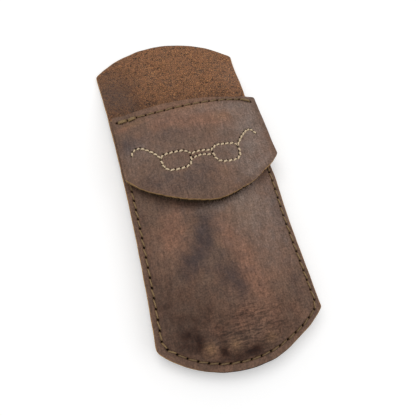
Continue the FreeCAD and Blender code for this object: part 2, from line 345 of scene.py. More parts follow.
@dataclass(frozen=True)
class PouchForm:
    """Sizes of the cut and bent leather in millimetres, and the shapes that it takes."""

    # The case's outline
    case_width: float = 66.0
    case_length: float = 152.0
    top_rise: float = 12.0
    bottom_rise: float = 14.3
    side_draw: float = 1.8
    top_corner: float = 2.5
    bottom_corner: float = 4.0
    right_bottom_corner: float = 1.6
    mouth_below_top: float = 40.0
    right_bulges: tuple[Bulge, ...] = (Bulge(-6.0, 15.0, 1.0), Bulge(-38.0, 18.0, 0.4))
    right_bulge_power: int = 4
    flat_bottom: Bulge = Bulge(21.0, 7.0, 0.8)
    cut_waver: tuple[Waves, Waves] = (Waves(0.12, 13.0), Waves(0.12, 10.0))
    # The leather and its bends
    leather: float = 1.8
    edge_round: float = 0.3
    edge_lift: float = 5.0
    front_rise: float = 4.8
    trough_run: float = 12.0
    bottom_run: float = 26.0
    crease: float = 0.15
    rest_flat: float = 0.05
    glue_line: float = 0.05
    bumps: tuple[Bump, ...] = (
        Bump(-13.5, -65.6, 3.4, 0.9),
        Bump(-4.1, -66.0, 3.2, 0.8),
        Bump(9.9, -67.0, 3.2, 0.7),
    )
    bump_fade: tuple[float, float] = (6.0, 3.5)
    front_waves: tuple[Waves, Waves] = (Waves(0.16, 21.0), Waves(0.07, 9.0))
    waves_below: Ramp = Ramp(8.0, -12.0)
    # The flap
    flap_width: float = 64.5
    flap_shift: float = 1.9
    flap_side: float = 31.4
    flap_rise: float = 15.1
    flap_corner: float = 1.0
    flap_clearance: float = 0.3
    flap_flattening: float = 0.3
    flap_lean: float = 0.0484
    flap_curl: float = 2.2
    curl_across: Ramp = Ramp(14.0, -20.0)
    flap_sag: Bulge = Bulge(-1.0, 12.0, 1.5)
    flap_hitch: Bulge = Bulge(-24.0, 5.0, 0.45)
    low_corner_shift: tuple[float, float] = (0.8, -1.0)
    low_corner_across: Ramp = Ramp(22.0, 32.0)
    high_corner_drop: float = 1.6
    high_corner_across: Ramp = Ramp(25.0, 33.0)
    flap_waves: Waves = Waves(0.22, 26.0)
    flap_waves_shift: float = 9.0
    fray: Waves = Waves(0.16, 2.3)
    fray_fade: float = 60.0
    bend_below_seam: float = 2.6
    bend_starts_above: float = 0.6
    bend_end_y: float = 21.0
    opens_above_bend: float = 2.0
    opens_over: float = 5.0
    # The rows of stitches
    seam_inset: float = 3.0
    sewn_margin: float = 3.88
    stitch_pitch: float = 4.0
    seam_starts_below_mouth: float = 6.0
    left_row_shift: float = 0.5
    right_row_shift: float = 1.25
    right_row_across: Ramp = Ramp(16.0, 28.0)
    mouth_seam_left: float = -23.0
    mouth_seam_right: float = 27.4
    loop_hole_x: tuple[float, float] = (-28.35, 31.9)
    mouth_left_lift: float = 0.3
    left_lift_across: Ramp = Ramp(-12.0, -20.0)
    mouth_right_lift: float = 1.8
    right_lift_span: tuple[float, float] = (-8.0, 20.0)
    right_lift_power: float = 1.3
    mouth_end_drop: float = 2.4
    end_drop_across: Ramp = Ramp(26.0, 32.0)

    @property
    def half_width(self) -> float:
        """Half the case's width at its corners."""
        return self.case_width / 2

    @property
    def half_length(self) -> float:
        """Half the case's length."""
        return self.case_length / 2

    @property
    def waist(self) -> float:
        """Half the case's width at its narrowest."""
        return self.half_width - self.side_draw

    @property
    def high_corner_y(self) -> float:
        """Height of the top corners."""
        return self.half_length - self.top_rise

    @property
    def low_corner_y(self) -> float:
        """Height of the bottom corners."""
        return self.bottom_rise - self.half_length

    @property
    def mouth_y(self) -> float:
        """Height of the pocket's mouth."""
        return self.half_length - self.mouth_below_top

    @property
    def seam_y(self) -> float:
        """Height of the seam across the mouth."""
        return self.mouth_y - self.seam_inset

    @property
    def bend_y(self) -> float:
        """Height of the line where the flap bends."""
        return self.seam_y - self.bend_below_seam

    @property
    def flap_corner_y(self) -> float:
        """Height of the flap's lower corners."""
        return self.mouth_y - self.flap_side

    @property
    def flap_low_y(self) -> float:
        """Height of the flap's lowest point."""
        return self.flap_corner_y - self.flap_rise

    @property
    def pocket_half(self) -> float:
        """Half the pocket's width inside its seams."""
        return self.waist - self.sewn_margin

    @property
    def back_underside(self) -> float:
        """Height of the back panel's underside at the sewn margin."""
        return self.edge_lift - self.rest_flat

    @property
    def front_underside(self) -> float:
        """Height of the front panel's underside at the sewn margin."""
        return self.back_underside + self.leather + self.glue_line

    @property
    def bottom_radius(self) -> float:
        """Radius of the bottom arch."""
        return (self.half_width**2 + self.bottom_rise**2) / (2 * self.bottom_rise)

    @property
    def bottom_centre_y(self) -> float:
        """Height of the bottom arch's centre."""
        return self.bottom_radius - self.half_length

    def side_x(self, y: np.ndarray, inset: float = 0.0) -> np.ndarray:
        """Work out half the case's width, or that of a line some way inside its edge.

        Args:
            y: places along the case.
            inset: how far inside the edge the line is.

        Returns:
            Distance from the middle at each place.
        """
        middle = (self.high_corner_y + self.low_corner_y) / 2
        half = (self.high_corner_y - self.low_corner_y) / 2
        radius = (half**2 + self.side_draw**2) / (2 * self.side_draw)
        return self.waist + radius - np.sqrt((radius + inset) ** 2 - (y - middle) ** 2)

    def right_swell(self, y: np.ndarray) -> np.ndarray:
        """How far the right side bulges out at each height."""
        return sum(bulge.amount(y) for bulge in self.right_bulges)

    def bottom_y(self, x: np.ndarray) -> np.ndarray:
        """Height of the bottom arch, which was cut a little flatter on the right."""
        arch = self.bottom_centre_y - np.sqrt(self.bottom_radius**2 - x**2)
        return arch + self.flat_bottom.amount(x)

    def top_y(self, x: np.ndarray) -> np.ndarray:
        """Height of the top arch."""
        radius = (self.half_width**2 + self.top_rise**2) / (2 * self.top_rise)
        return self.half_length - radius + np.sqrt(radius**2 - x**2)

    def flap_edge_y(self, x: np.ndarray) -> np.ndarray:
        """Work out the height of the flap's lower edge.

        Args:
            x: distances from the flap's middle.

        Returns:
            The height at each distance.
        """
        half = self.flap_width / 2
        radius = (half**2 + self.flap_rise**2) / (2 * self.flap_rise)
        return self.flap_low_y + radius - np.sqrt(radius**2 - x**2)

    def swell(self, share: np.ndarray) -> np.ndarray:
        """Go from 0 to 1 as an arch does, with a soft crease at its foot.

        Args:
            share: shares of the way from the foot to the crown.

        Returns:
            Shares of the arch's height.
        """
        u = np.clip(share, 0, 1)
        s = u * u * (1 + self.crease) / (u + self.crease)
        return s * (2 - s)

    def from_bottom_margin(self, x: np.ndarray, y: np.ndarray) -> np.ndarray:
        """Distance of each place from the inner side of the bottom margin."""
        reach = np.hypot(x, np.minimum(y - self.bottom_centre_y, 0))
        return self.bottom_radius - self.sewn_margin - reach

    def back_height(self, x: np.ndarray, y: np.ndarray) -> np.ndarray:
        """Work out the height of the back panel's underside: a trough that runs out flat at the top.

        Args:
            x: places across the case.
            y: places along the case.

        Returns:
            The height at each place.
        """
        sides = soft_step((self.pocket_half - np.abs(x)) / self.trough_run)
        trough = sides * soft_step(self.from_bottom_margin(x, y) / self.trough_run)
        climb = (y - self.mouth_y) / (self.high_corner_y - self.mouth_y)
        return self.edge_lift * (1 - soft_step(climb)) * (1 - trough) - self.rest_flat

    def arch_height(self, x: np.ndarray, y: np.ndarray) -> np.ndarray:
        """Work out the height of the front panel's underside, without its bumps and waves.

        Args:
            x: places across the case.
            y: places along the case.

        Returns:
            The height at each place.
        """
        arch = self.swell((self.pocket_half - np.abs(x)) / self.pocket_half)
        rise = self.swell(self.from_bottom_margin(x, y) / self.bottom_run)
        return self.front_underside + self.front_rise * arch * rise

    def front_height(self, x: np.ndarray, y: np.ndarray) -> np.ndarray:
        """Work out the height of the front panel's underside, with its bumps and soft waves.

        Args:
            x: places across the case.
            y: places along the case.

        Returns:
            The height at each place.
        """
        side_fade, bottom_fade = self.bump_fade
        inside = soft_step((self.pocket_half - np.abs(x)) / side_fade)
        inside = inside * soft_step(self.from_bottom_margin(x, y) / bottom_fade)
        pushed = sum(bump.height(x, y) for bump in self.bumps)
        broad, fine = self.front_waves
        waves = broad.height(x, y) + fine.height(y, x)
        return self.arch_height(x, y) + inside * (pushed + self.waves_below.share(y) * waves)

    def mouth_height(self, x: np.ndarray, y: np.ndarray) -> np.ndarray:
        """Height of the mouth's arch, the same all along the case."""
        return self.arch_height(x, np.full_like(np.asarray(x, float), self.mouth_y))

    def flap_height(self, x: np.ndarray, y: np.ndarray) -> np.ndarray:
        """Work out the height that the flap is laid on: flatter and curled towards its lower edge.

        Args:
            x: places across the case.
            y: places along the case.

        Returns:
            The height at each place.
        """
        away = np.maximum(self.bend_y - y, 0)
        share = away / (self.bend_y - self.flap_low_y)
        crown = self.mouth_height(np.zeros_like(x), y)
        laid = crown - (crown - self.mouth_height(x, y)) * (1 - self.flap_flattening * share)
        curl = self.flap_curl * share**2 * self.curl_across.share(x)
        waves = share * self.flap_waves.height(x + self.flap_waves_shift, y)
        return laid + self.flap_lean * away + curl + waves

    def flap_depth(self, y: np.ndarray) -> np.ndarray:
        """Distance from the front panel's underside out to the flap's, which opens near the bend."""
        below = soft_step((self.bend_y + self.opens_above_bend - y) / self.opens_over)
        return self.leather + self.glue_line + (self.flap_clearance - self.glue_line) * below

    @staticmethod
    def off(height: Height, x: np.ndarray, y: np.ndarray, out: np.ndarray | float) -> np.ndarray:
        """Places some way out from a bent sheet, square to it.

        Args:
            height: the sheet's height by place.
            x: places across the case.
            y: places along the case.
            out: distance out from the sheet.

        Returns:
            One place a row.
        """
        x, y = np.asarray(x, float), np.asarray(y, float)
        step = 0.05
        along_x = (height(x + step, y) - height(x - step, y)) / (2 * step)
        along_y = (height(x, y + step) - height(x, y - step)) / (2 * step)
        up = np.stack([-along_x, -along_y, np.ones_like(x)], -1)
        up /= np.linalg.norm(up, axis=-1, keepdims=True)
        return np.stack([x, y, height(x, y)], -1) + up * np.broadcast_to(out, x.shape)[..., None]


def round_corner(x: np.ndarray, y: np.ndarray, corner: Sequence[float], sides: Sequence[Sequence[float]],
                 radius: float) -> Places:
    """Draw the points near a corner of an outline in, so that it is round.

    Args:
        x: places across the case.
        y: places along the case.
        corner: the sharp corner.
        sides: directions from the corner along its two sides.
        radius: radius of the round.

    Returns:
        The moved places.
    """
    a, b = (np.array(side) / np.hypot(*side) for side in sides)
    sine = abs(a[0] * b[1] - a[1] * b[0])
    centre = np.array(corner) + (a + b) * radius / sine
    normals = []
    for side, other in ((a, b), (b, a)):
        square = np.array([-side[1], side[0]])
        normals.append(square if square @ other < 0 else -square)
    gone = np.stack([x - centre[0], y - centre[1]], -1)
    reach = np.maximum(np.linalg.norm(gone, axis=-1, keepdims=True), 1e-9)
    shares = np.linalg.solve(np.stack(normals, -1), (gone / reach)[..., None])[..., 0]
    wedge = (shares > 0).all(-1) & (reach[..., 0] < 3 * radius)
    most = np.maximum(gone @ normals[0], gone @ normals[1]) / reach[..., 0]
    kept = np.where(wedge, most, 1.0)[..., None]
    moved = centre + gone * kept
    return moved[..., 0], moved[..., 1]


def round_case_corner(form: PouchForm, x: np.ndarray, y: np.ndarray, sign: int, at_top: bool) -> Places:
    """Round one corner of the case's outline.

    Args:
        form: the pouch's sizes.
        x: places across the case.
        y: places along the case.
        sign: -1 for the left side and 1 for the right one.
        at_top: whether it is a top corner.

    Returns:
        The moved places.
    """
    corner_y = form.high_corner_y if at_top else form.low_corner_y
    arch = form.top_y if at_top else form.bottom_y
    inward = 1.5
    beside = corner_y - inward if at_top else corner_y + inward
    along_arch = (-sign * inward, float(arch(np.array(form.half_width - inward))) - corner_y)
    along_side = (sign * (float(form.side_x(np.array(beside))) - form.half_width), beside - corner_y)
    low_radius = form.bottom_corner if sign < 0 else form.right_bottom_corner
    radius = form.top_corner if at_top else low_radius
    return round_corner(x, y, (sign * form.half_width, corner_y), (along_arch, along_side), radius)


# Rows of stitches


@dataclass
class StitchRow:
    """A row of awl holes: where each comes out on both faces, in millimetres."""

    top: np.ndarray
    under: np.ndarray

    @property
    def out(self) -> np.ndarray:
        """Direction of each hole, out of the front."""
        gone = self.top - self.under
        return gone / np.linalg.norm(gone, axis=1, keepdims=True)

    @property
    def along(self) -> np.ndarray:
        """Direction of the row at each hole."""
        gone = np.gradient(self.top, axis=0)
        return gone / np.linalg.norm(gone, axis=1, keepdims=True)

    @property
    def across(self) -> np.ndarray:
        """Direction across the row at each hole."""
        gone = np.cross(self.out, self.along)
        return gone / np.linalg.norm(gone, axis=1, keepdims=True)


def spaced(line: np.ndarray, pitch: float) -> np.ndarray:
    """Space places evenly along a line.

    Args:
        line: closely spaced points of the line.
        pitch: about how far apart the places are.

    Returns:
        The places, one a row.
    """
    run = np.concatenate([[0], np.cumsum(np.linalg.norm(np.diff(line, axis=0), axis=1))])
    stops = np.linspace(0, run[-1], round(run[-1] / pitch) + 1)
    return np.stack([np.interp(stops, run, column) for column in line.T], -1)


def bowed_line(corners: Sequence[tuple[float, float]], bows: Sequence[float]) -> np.ndarray:
    """Arcs from corner to corner, each bowed out to its left.

    Args:
        corners: the places that the line goes through.
        bows: how far each arc bows out.

    Returns:
        Closely spaced places along the line.
    """
    points = []
    shares = np.linspace(0, 1, 40)[:, None]
    for start, end, bow in zip(np.array(corners[:-1], float), np.array(corners[1:], float), bows):
        chord = end - start
        aside = np.array([-chord[1], chord[0]]) / np.hypot(*chord)
        points.append(start + chord * shares + aside * bow * 4 * shares * (1 - shares))
    return np.concatenate([run if i == 0 else run[1:] for i, run in enumerate(points)])


@dataclass(frozen=True)
class Spectacles:
    """The sewn spectacles on the flap, drawn about the middle of the bridge, in millimetres."""

    above_corners: float = 3.0
    pitch: float = 2.0
    lens_width: float = 11.4
    lens_bottom: float = 4.0
    lens_shoulder: float = 2.2
    lens_taper: tuple[float, float] = (0.5, 2.7)
    lens_corner: float = 0.4
    lens_bow: float = 0.2
    brow_height: float = 2.6
    brow_top: float = 3.9
    brow_step: float = 1.5
    brow_bow: float = 0.15
    bridge_width: float = 9.0
    bridge_height: float = 1.6
    bridge_drop: float = 1.9
    bridge_bow: float = 0.8
    hump: tuple[float, float, float] = (7.3, 10.2, 0.8)
    tip: tuple[float, float, float] = (11.0, 7.3, 0.9)
    line_gap: float = 0.9

    def lines(self) -> dict[str, np.ndarray]:
        """Draw the lines.

        Returns:
            Closely spaced places along each line, by the name of its piece.
        """
        near = self.bridge_width / 2
        far = near + self.lens_width
        brow = [(near, self.bridge_height), (near + self.brow_step, self.brow_top)]
        brow += [(far - self.brow_step, self.brow_top), (far, self.brow_height)]
        brow += [(far + self.hump[0], self.hump[1]), (far + self.tip[0], self.tip[1])]
        bows = [self.brow_bow, self.brow_bow, self.brow_bow, self.hump[2], self.tip[2]]
        shoulder, heel = self.lens_taper
        lens = [(far, self.brow_height - self.line_gap), (far - shoulder, -self.lens_shoulder)]
        lens += [(far - heel, -self.lens_bottom), (near + heel, -self.lens_bottom)]
        lens += [(near + shoulder, -self.lens_shoulder), (near, self.bridge_height - self.line_gap)]
        lens_bows = [self.lens_bow, self.lens_corner, self.lens_bow, self.lens_corner, self.lens_bow]
        low = self.bridge_height - self.bridge_drop
        bridge = [(self.line_gap - near, low), (near - self.line_gap, low)]

        def mirrored(points: list[tuple[float, float]]) -> list[tuple[float, float]]:
            """The same points on the other side, in the other order."""
            return [(-x, y) for x, y in reversed(points)]

        return {
            "brow": bowed_line(mirrored(brow) + brow, bows[::-1] + [self.bridge_bow] + bows),
            "left_lens": bowed_line(mirrored(lens), lens_bows),
            "right_lens": bowed_line(lens, lens_bows),
            "bridge": bowed_line(bridge, [self.bridge_bow]),
        }


class Rows:
    """All the rows of holes in the pouch."""

    side_steps = 900
    arc_steps = 700

    def __init__(self, form: PouchForm, spectacles: Spectacles) -> None:
        """Work the rows out from the leather's shape.

        Args:
            form: the pouch's sizes.
            spectacles: the drawn lines on the flap.
        """
        self.side = self.side_row(form)
        self.mouth = self.mouth_row(form)
        self.motif = self.motif_rows(form, spectacles)

    @classmethod
    def side_row(cls, form: PouchForm) -> StitchRow:
        """Work out the row down the left side, round the bottom and up the right side.

        Args:
            form: the pouch's sizes.

        Returns:
            The row.
        """
        inset = form.seam_inset
        radius = form.bottom_radius - inset
        y = np.linspace(form.mouth_y - form.seam_starts_below_mouth, form.low_corner_y, cls.side_steps)
        side = np.stack([form.side_x(y, inset), y], -1)
        side = side[np.hypot(side[:, 0], np.minimum(y - form.bottom_centre_y, 0)) < radius]
        end = math.atan2(side[-1, 0], form.bottom_centre_y - side[-1, 1])
        angle = np.linspace(-end, end, cls.arc_steps)[1:-1]
        arc = np.stack([radius * np.sin(angle), form.bottom_centre_y - radius * np.cos(angle)], -1)
        arc[:, 0] += form.right_row_shift * form.right_row_across.share(arc[:, 0])
        right = side[::-1].copy()
        right[:, 0] += form.right_row_shift + form.right_swell(right[:, 1])
        line = np.concatenate([side * (-1, 1) - (form.left_row_shift, 0), arc, right])
        spots = spaced(line, form.stitch_pitch)
        level = np.ones((len(spots), 1))
        top = np.hstack([spots, level * (form.front_underside + form.leather)])
        return StitchRow(top, np.hstack([spots, level * form.back_underside]))

    @staticmethod
    def mouth_row(form: PouchForm) -> StitchRow:
        """Work out the row across the mouth, which climbs to the right and drops at its end.

        Args:
            form: the pouch's sizes.

        Returns:
            The row.
        """
        count = round((form.mouth_seam_right - form.mouth_seam_left) / form.stitch_pitch)
        first, last = form.loop_hole_x
        evenly = np.linspace(form.mouth_seam_left, form.mouth_seam_right, count + 1)
        x = np.concatenate([[first], evenly, [last]])
        start, end = form.right_lift_span
        climb = np.clip((x - start) / (end - start), 0, 1) ** form.right_lift_power
        rise = form.mouth_left_lift * form.left_lift_across.share(x) + form.mouth_right_lift * climb
        y = form.seam_y + rise - form.mouth_end_drop * form.end_drop_across.share(x)
        top = form.off(form.mouth_height, x, y, form.flap_depth(y) + form.leather)
        return StitchRow(top, form.off(form.mouth_height, x, y, 0.0))

    @staticmethod
    def motif_rows(form: PouchForm, spectacles: Spectacles) -> dict[str, StitchRow]:
        """Work out the rows of the spectacles.

        Args:
            form: the pouch's sizes.
            spectacles: the drawn lines.

        Returns:
            Each row by the name of its piece.
        """
        rows = {}
        middle = np.array([form.flap_shift, form.flap_corner_y + spectacles.above_corners])
        for name, line in spectacles.lines().items():
            x, y = (spaced(line, spectacles.pitch) + middle).T
            depth = form.flap_depth(y)
            top = form.off(form.flap_height, x, y, depth + form.leather)
            rows[name] = StitchRow(top, form.off(form.flap_height, x, y, depth))
        return rows


# Finishes


def linear(code: str) -> tuple[float, float, float, float]:
    """Turn an sRGB hex colour to linear light.

    Args:
        code: the colour, with its number sign.

    Returns:
        Red, green, blue and full opacity.
    """
    parts = [int(code[i : i + 2], 16) / 255 for i in (1, 3, 5)]
    light = [p / 12.92 if p <= 0.04045 else ((p + 0.055) / 1.055) ** 2.4 for p in parts]
    return (*light, 1.0)


def add_node(tree: bpy.types.NodeTree, kind: str, inputs: dict | None = None,
             **settings: object) -> bpy.types.Node:
    """Add a node with its settings, values and links.

    Args:
        tree: the material's nodes.
        kind: Blender's name for the kind of node.
        inputs: a value or another node's output for each input, by name or number.
        settings: the node's own settings.

    Returns:
        The new node.
    """
    node = tree.nodes.new(kind)
    for name, value in settings.items():
        setattr(node, name, value)
    for key, value in (inputs or {}).items():
        if isinstance(value, bpy.types.NodeSocket):
            tree.links.new(value, node.inputs[key])
        else:
            node.inputs[key].default_value = value
    return node


def new_material(name: str) -> tuple[bpy.types.Material, bpy.types.NodeTree, bpy.types.NodeSocket]:
    """Start a material with an output and nothing else.

    Args:
        name: the material's name.

    Returns:
        The material, its nodes and the socket that its surface goes to.
    """
    material = bpy.data.materials.new(name)
    material.use_nodes = True
    tree = material.node_tree
    tree.nodes.clear()
    output = add_node(tree, "ShaderNodeOutputMaterial")
    return material, tree, output.inputs["Surface"]


def per_mm(size: float) -> float:
    """Scale of a pattern whose features are some millimetres across."""
    return 1 / (size * MM)


@dataclass(frozen=True)
class Pattern:
    """Noise in a finish: the size of its features in millimetres, the same all ways or along x, y and z, and
    its detail, roughness and distortion."""

    size: float | tuple[float, float, float]
    detail: float
    rough: float = 0.5
    bent: float = 0.0


@dataclass(frozen=True)
class Ground:
    """What a finish is painted from: its nodes, the place on the piece, the marks and the noise."""

    tree: bpy.types.NodeTree
    place: bpy.types.NodeSocket
    mark: dict[str, bpy.types.NodeSocket]
    noise: dict[str, bpy.types.NodeSocket]


@dataclass(frozen=True)
class Finish:
    """What all the finishes share: marks that are read from the mesh, patterns of noise, relief and gloss."""

    name: str
    marks: ClassVar[tuple[str, ...]] = ()
    patterns: ClassVar[dict[str, Pattern]] = {}
    relief_mm: ClassVar[float] = 0.1
    relief_strength: ClassVar[float] = 0.3
    gloss: ClassVar[dict[str, float]] = {}

    def paint(self, ground: Ground) -> Paint:
        """Colour, roughness and height of the relief."""
        raise NotImplementedError

    def material(self) -> bpy.types.Material:
        """Make the finish.

        Returns:
            The new material.
        """
        material, tree, surface = new_material(self.name)
        place = add_node(tree, "ShaderNodeTexCoord").outputs["Object"]
        mark = {}
        for name in self.marks:
            mark[name] = add_node(tree, "ShaderNodeAttribute", attribute_name=name).outputs["Fac"]
        noise = {}
        for name, pattern in self.patterns.items():
            scale = [per_mm(size) for size in np.broadcast_to(pattern.size, 3)]
            drawn = add_node(tree, "ShaderNodeMapping", {"Vector": place, "Scale": scale})
            noise[name] = add_node(tree, "ShaderNodeTexNoise", {
                "Vector": drawn.outputs["Vector"], "Scale": 1.0, "Detail": pattern.detail,
                "Roughness": pattern.rough, "Distortion": pattern.bent}).outputs["Fac"]
        colour, rough, height = self.paint(Ground(tree, place, mark, noise))
        bump = add_node(tree, "ShaderNodeBump", {
            "Height": height, "Strength": self.relief_strength, "Distance": self.relief_mm * MM})
        shader = add_node(tree, "ShaderNodeBsdfPrincipled", {
            "Base Color": colour, "Roughness": rough, "Normal": bump.outputs[0], **self.gloss})
        tree.links.new(shader.outputs[0], surface)
        return material


@dataclass(frozen=True)
class PullUpLeather(Finish):
    """Waxed pull-up leather, grain side: matt wax over a dyed hide, warm where it has been bent or rubbed
    and grey in patches, with a pale painted sheen mostly on the right and just below the flap, painted shade
    towards the bottom, fine pores and a soft sheen."""

    name: str = "waxed_pull_up_leather"
    body: str = "#695142"
    rust: str = "#815d4a"
    grey: str = "#473733"
    # Painted shade: darker along the bottom and over the lower left.
    deep: str = "#2b1409"
    # Lighter tone, and painted highlights on the pressed bumps.
    pale: str = "#8f6c4c"
    rubbed: str = "#6a5040"
    # Painted sheen: a pale cool grey where the leather should catch light, mostly on the right and just below
    # the flap.
    painted_sheen: str = "#8a7b73"
    # Painted shade, near black inside the awl holes.
    hole: str = "#0f0704"
    # Real pores are about 0.2 mm apart; they are drawn coarser so that they show.
    pore_mm: float = 0.6
    roughness: tuple[float, float] = (0.5, 0.68)
    marks = ("rust", "grey", "deep", "pale", "rubbed", "painted_sheen", "pit", "crush")
    patterns = {
        "mottle": Pattern(17.0, 3.0, 0.55, 0.5),
        "cloud": Pattern(6.0, 7.0, 0.66, 0.3),
        "veil": Pattern(4.3, 6.0, 0.64, 0.4),
        "speck": Pattern(0.7, 3.0, 0.7),
        "wrinkle": Pattern((3.2, 0.9, 2.0), 3.0, 0.5, 0.8),
        "streak": Pattern((0.9, 4.5, 4.0), 4.0, 0.6, 0.6),
    }
    relief_mm = 0.16
    relief_strength = 0.45
    gloss = {"IOR": 1.46, "Specular IOR Level": 0.25}

    def shares(self, ground: Ground) -> dict[str, bpy.types.NodeSocket]:
        """Work out how much of each colour shows.

        Args:
            ground: what the finish is painted from.

        Returns:
            The share by the name of the colour.
        """
        tree, mark, noise = ground.tree, ground.mark, ground.noise
        share = {"pale": mark["pale"]}
        # The dye's patches end in clouds, because noise is added to them before they are cut off.
        for name, clouds, low, high in (
            ("rust", (("mottle", 1.2), ("cloud", 1.5)), 1.15, 2.25),
            ("grey", (("veil", 1.7),), 0.8, 1.95),
        ):
            total = mark[name]
            for cloud, weight in clouds:
                total = add_node(tree, "ShaderNodeMath", {0: noise[cloud], 1: weight, 2: total},
                                 operation="MULTIPLY_ADD").outputs[0]
            share[name] = add_node(tree, "ShaderNodeMapRange", {
                "Value": total, "From Min": low, "From Max": high}).outputs[0]
        # The painted shade (deep), the painted sheen and the wear near the rim are uneven inside their
        # patches, because noise multiplies them.
        for name, cloud, weight, base, low, high in (
            ("deep", "cloud", 2.4, 0.2, 0.1, 1.5),
            ("painted_sheen", "veil", 1.6, 0.2, 0.0, 1.0),
            ("rubbed", "cloud", 1.0, 0.0, 0.0, 1.0),
        ):
            uneven = add_node(tree, "ShaderNodeMath", {0: noise[cloud], 1: weight, 2: base},
                              operation="MULTIPLY_ADD").outputs[0]
            uneven = add_node(tree, "ShaderNodeMath", {0: uneven, 1: mark[name]},
                              operation="MULTIPLY").outputs[0]
            share[name] = add_node(tree, "ShaderNodeMapRange", {
                "Value": uneven, "From Min": low, "From Max": high}).outputs[0]
        return share

    def paint(self, ground: Ground) -> Paint:
        """Lay the colours over each other, then the grain and the holes.

        Args:
            ground: what the finish is painted from.

        Returns:
            Colour, roughness and height of the relief.
        """
        tree, mark, noise = ground.tree, ground.mark, ground.noise
        share = self.shares(ground)
        colour = linear(self.body)
        for name in ("rust", "grey", "deep", "painted_sheen", "pale", "rubbed"):
            colour = add_node(tree, "ShaderNodeMix", {
                0: share[name], 6: colour, 7: linear(getattr(self, name))}, data_type="RGBA").outputs[2]
        # Grain and streaks go all over, and wrinkles where the leather has been crushed.
        for name, low, high, dark, light in (
            ("speck", 0.3, 0.7, 0.58, 1.42),
            ("streak", 0.3, 0.7, 0.76, 1.24),
            ("wrinkle", 0.36, 0.6, 0.45, 1.25),
        ):
            shade = add_node(tree, "ShaderNodeMapRange", {
                "Value": noise[name], "From Min": low, "From Max": high, "To Min": dark,
                "To Max": light}).outputs[0]
            if name == "wrinkle":
                shade = add_node(tree, "ShaderNodeMix", {0: mark["crush"], 2: 1.0, 3: shade}).outputs[0]
            colour = add_node(tree, "ShaderNodeMix", {
                0: 1.0, 6: colour, 7: shade}, data_type="RGBA", blend_type="MULTIPLY").outputs[2]
        # The awl holes are painted near black: painted shade inside them.
        colour = add_node(tree, "ShaderNodeMix", {
            0: mark["pit"], 6: colour, 7: linear(self.hole)}, data_type="RGBA").outputs[2]
        smooth, rough = self.roughness
        rough = add_node(tree, "ShaderNodeMapRange", {
            "Value": noise["cloud"], "From Min": 0.3, "From Max": 0.7, "To Min": smooth, "To Max": rough})
        pores = add_node(tree, "ShaderNodeTexVoronoi", {
            "Vector": ground.place, "Scale": per_mm(self.pore_mm)})
        folds = add_node(tree, "ShaderNodeMath", {0: noise["wrinkle"], 1: mark["crush"]},
                         operation="MULTIPLY")
        relief = noise["speck"]
        for height, weight in ((pores.outputs["Distance"], 0.5), (folds.outputs[0], 3.0)):
            relief = add_node(tree, "ShaderNodeMath", {0: height, 1: weight, 2: relief},
                              operation="MULTIPLY_ADD").outputs[0]
        return colour, rough.outputs[0], relief


@dataclass(frozen=True)
class FleshSide(Finish):
    """The flesh side of the hide: a rough suede nap in clumps, orange-brown on the tips and dark in the
    hollows."""

    name: str = "leather_flesh_side"
    deep: str = "#251610"
    nap: str = "#805338"
    tips: str = "#d89a63"
    dusk: str = "#5d473c"
    # Painted shade inside the awl holes.
    hole: str = "#120c09"
    shade: str = "#3c2c25"
    roughness: float = 0.95
    marks = ("pit", "shade")
    # Single fibres are about 0.05 mm thick; they are drawn coarser so that they show.
    patterns = {
        "clump": Pattern(4.5, 4.0, 0.6),
        "nap": Pattern(1.25, 4.0, 0.75, 0.6),
        "fibre": Pattern(0.4, 2.0, 0.7),
    }
    relief_mm = 0.5
    relief_strength = 0.8
    gloss = {"Specular IOR Level": 0.15, "Sheen Weight": 0.15, "Sheen Roughness": 0.6}

    def paint(self, ground: Ground) -> Paint:
        """Lay the nap, its clumps and its tips over the hollows, then the shade and the holes.

        Args:
            ground: what the finish is painted from.

        Returns:
            Colour, roughness and height of the relief.
        """
        tree, noise = ground.tree, ground.noise
        share = {"shade": ground.mark["shade"], "hole": ground.mark["pit"]}
        for name, pattern, low, high, most in (
            ("nap", "nap", 0.4, 0.55, 1.0),
            ("dusk", "clump", 0.45, 0.75, 0.6),
            ("tips", "fibre", 0.48, 0.7, 1.0),
        ):
            share[name] = add_node(tree, "ShaderNodeMapRange", {
                "Value": noise[pattern], "From Min": low, "From Max": high, "To Max": most}).outputs[0]
        colour = linear(self.deep)
        for name in ("nap", "dusk", "tips", "shade", "hole"):
            colour = add_node(tree, "ShaderNodeMix", {
                0: share[name], 6: colour, 7: linear(getattr(self, name))}, data_type="RGBA").outputs[2]
        relief = add_node(tree, "ShaderNodeMath", {0: noise["nap"], 1: 1.5, 2: noise["fibre"]},
                          operation="MULTIPLY_ADD")
        return colour, self.roughness, relief.outputs[0]


@dataclass(frozen=True)
class CutEdge(Finish):
    """A knife-cut edge of the hide, left raw: tan fibres in layers, with near-black painted shade on its
    lower half, most on the flap's left and along the bottom, and a darker edge along the back's top."""

    name: str = "leather_cut_edge"
    dark: str = "#7f5b3a"
    tan: str = "#cfa772"
    dark_edge_and_shade: str = "#170c07"
    roughness: float = 0.85
    marks = ("dark_edge_and_shade",)
    patterns = {"fibre": Pattern((1.6, 1.6, 0.35), 5.0, 0.7)}
    relief_mm = 0.3
    relief_strength = 0.7
    gloss = {"Specular IOR Level": 0.25}

    def paint(self, ground: Ground) -> Paint:
        """Lay tan fibres over dark ones, then the painted shade and the darker edges.

        Args:
            ground: what the finish is painted from.

        Returns:
            Colour, roughness and height of the relief.
        """
        tree, fibre = ground.tree, ground.noise["fibre"]
        tan = add_node(tree, "ShaderNodeMapRange", {"Value": fibre, "From Min": 0.32, "From Max": 0.62})
        colour = linear(self.dark)
        for share, over in ((tan.outputs[0], self.tan), (ground.mark["dark_edge_and_shade"], self.dark_edge_and_shade)):
            colour = add_node(tree, "ShaderNodeMix", {
                0: share, 6: colour, 7: linear(over)}, data_type="RGBA").outputs[2]
        return colour, self.roughness, fibre


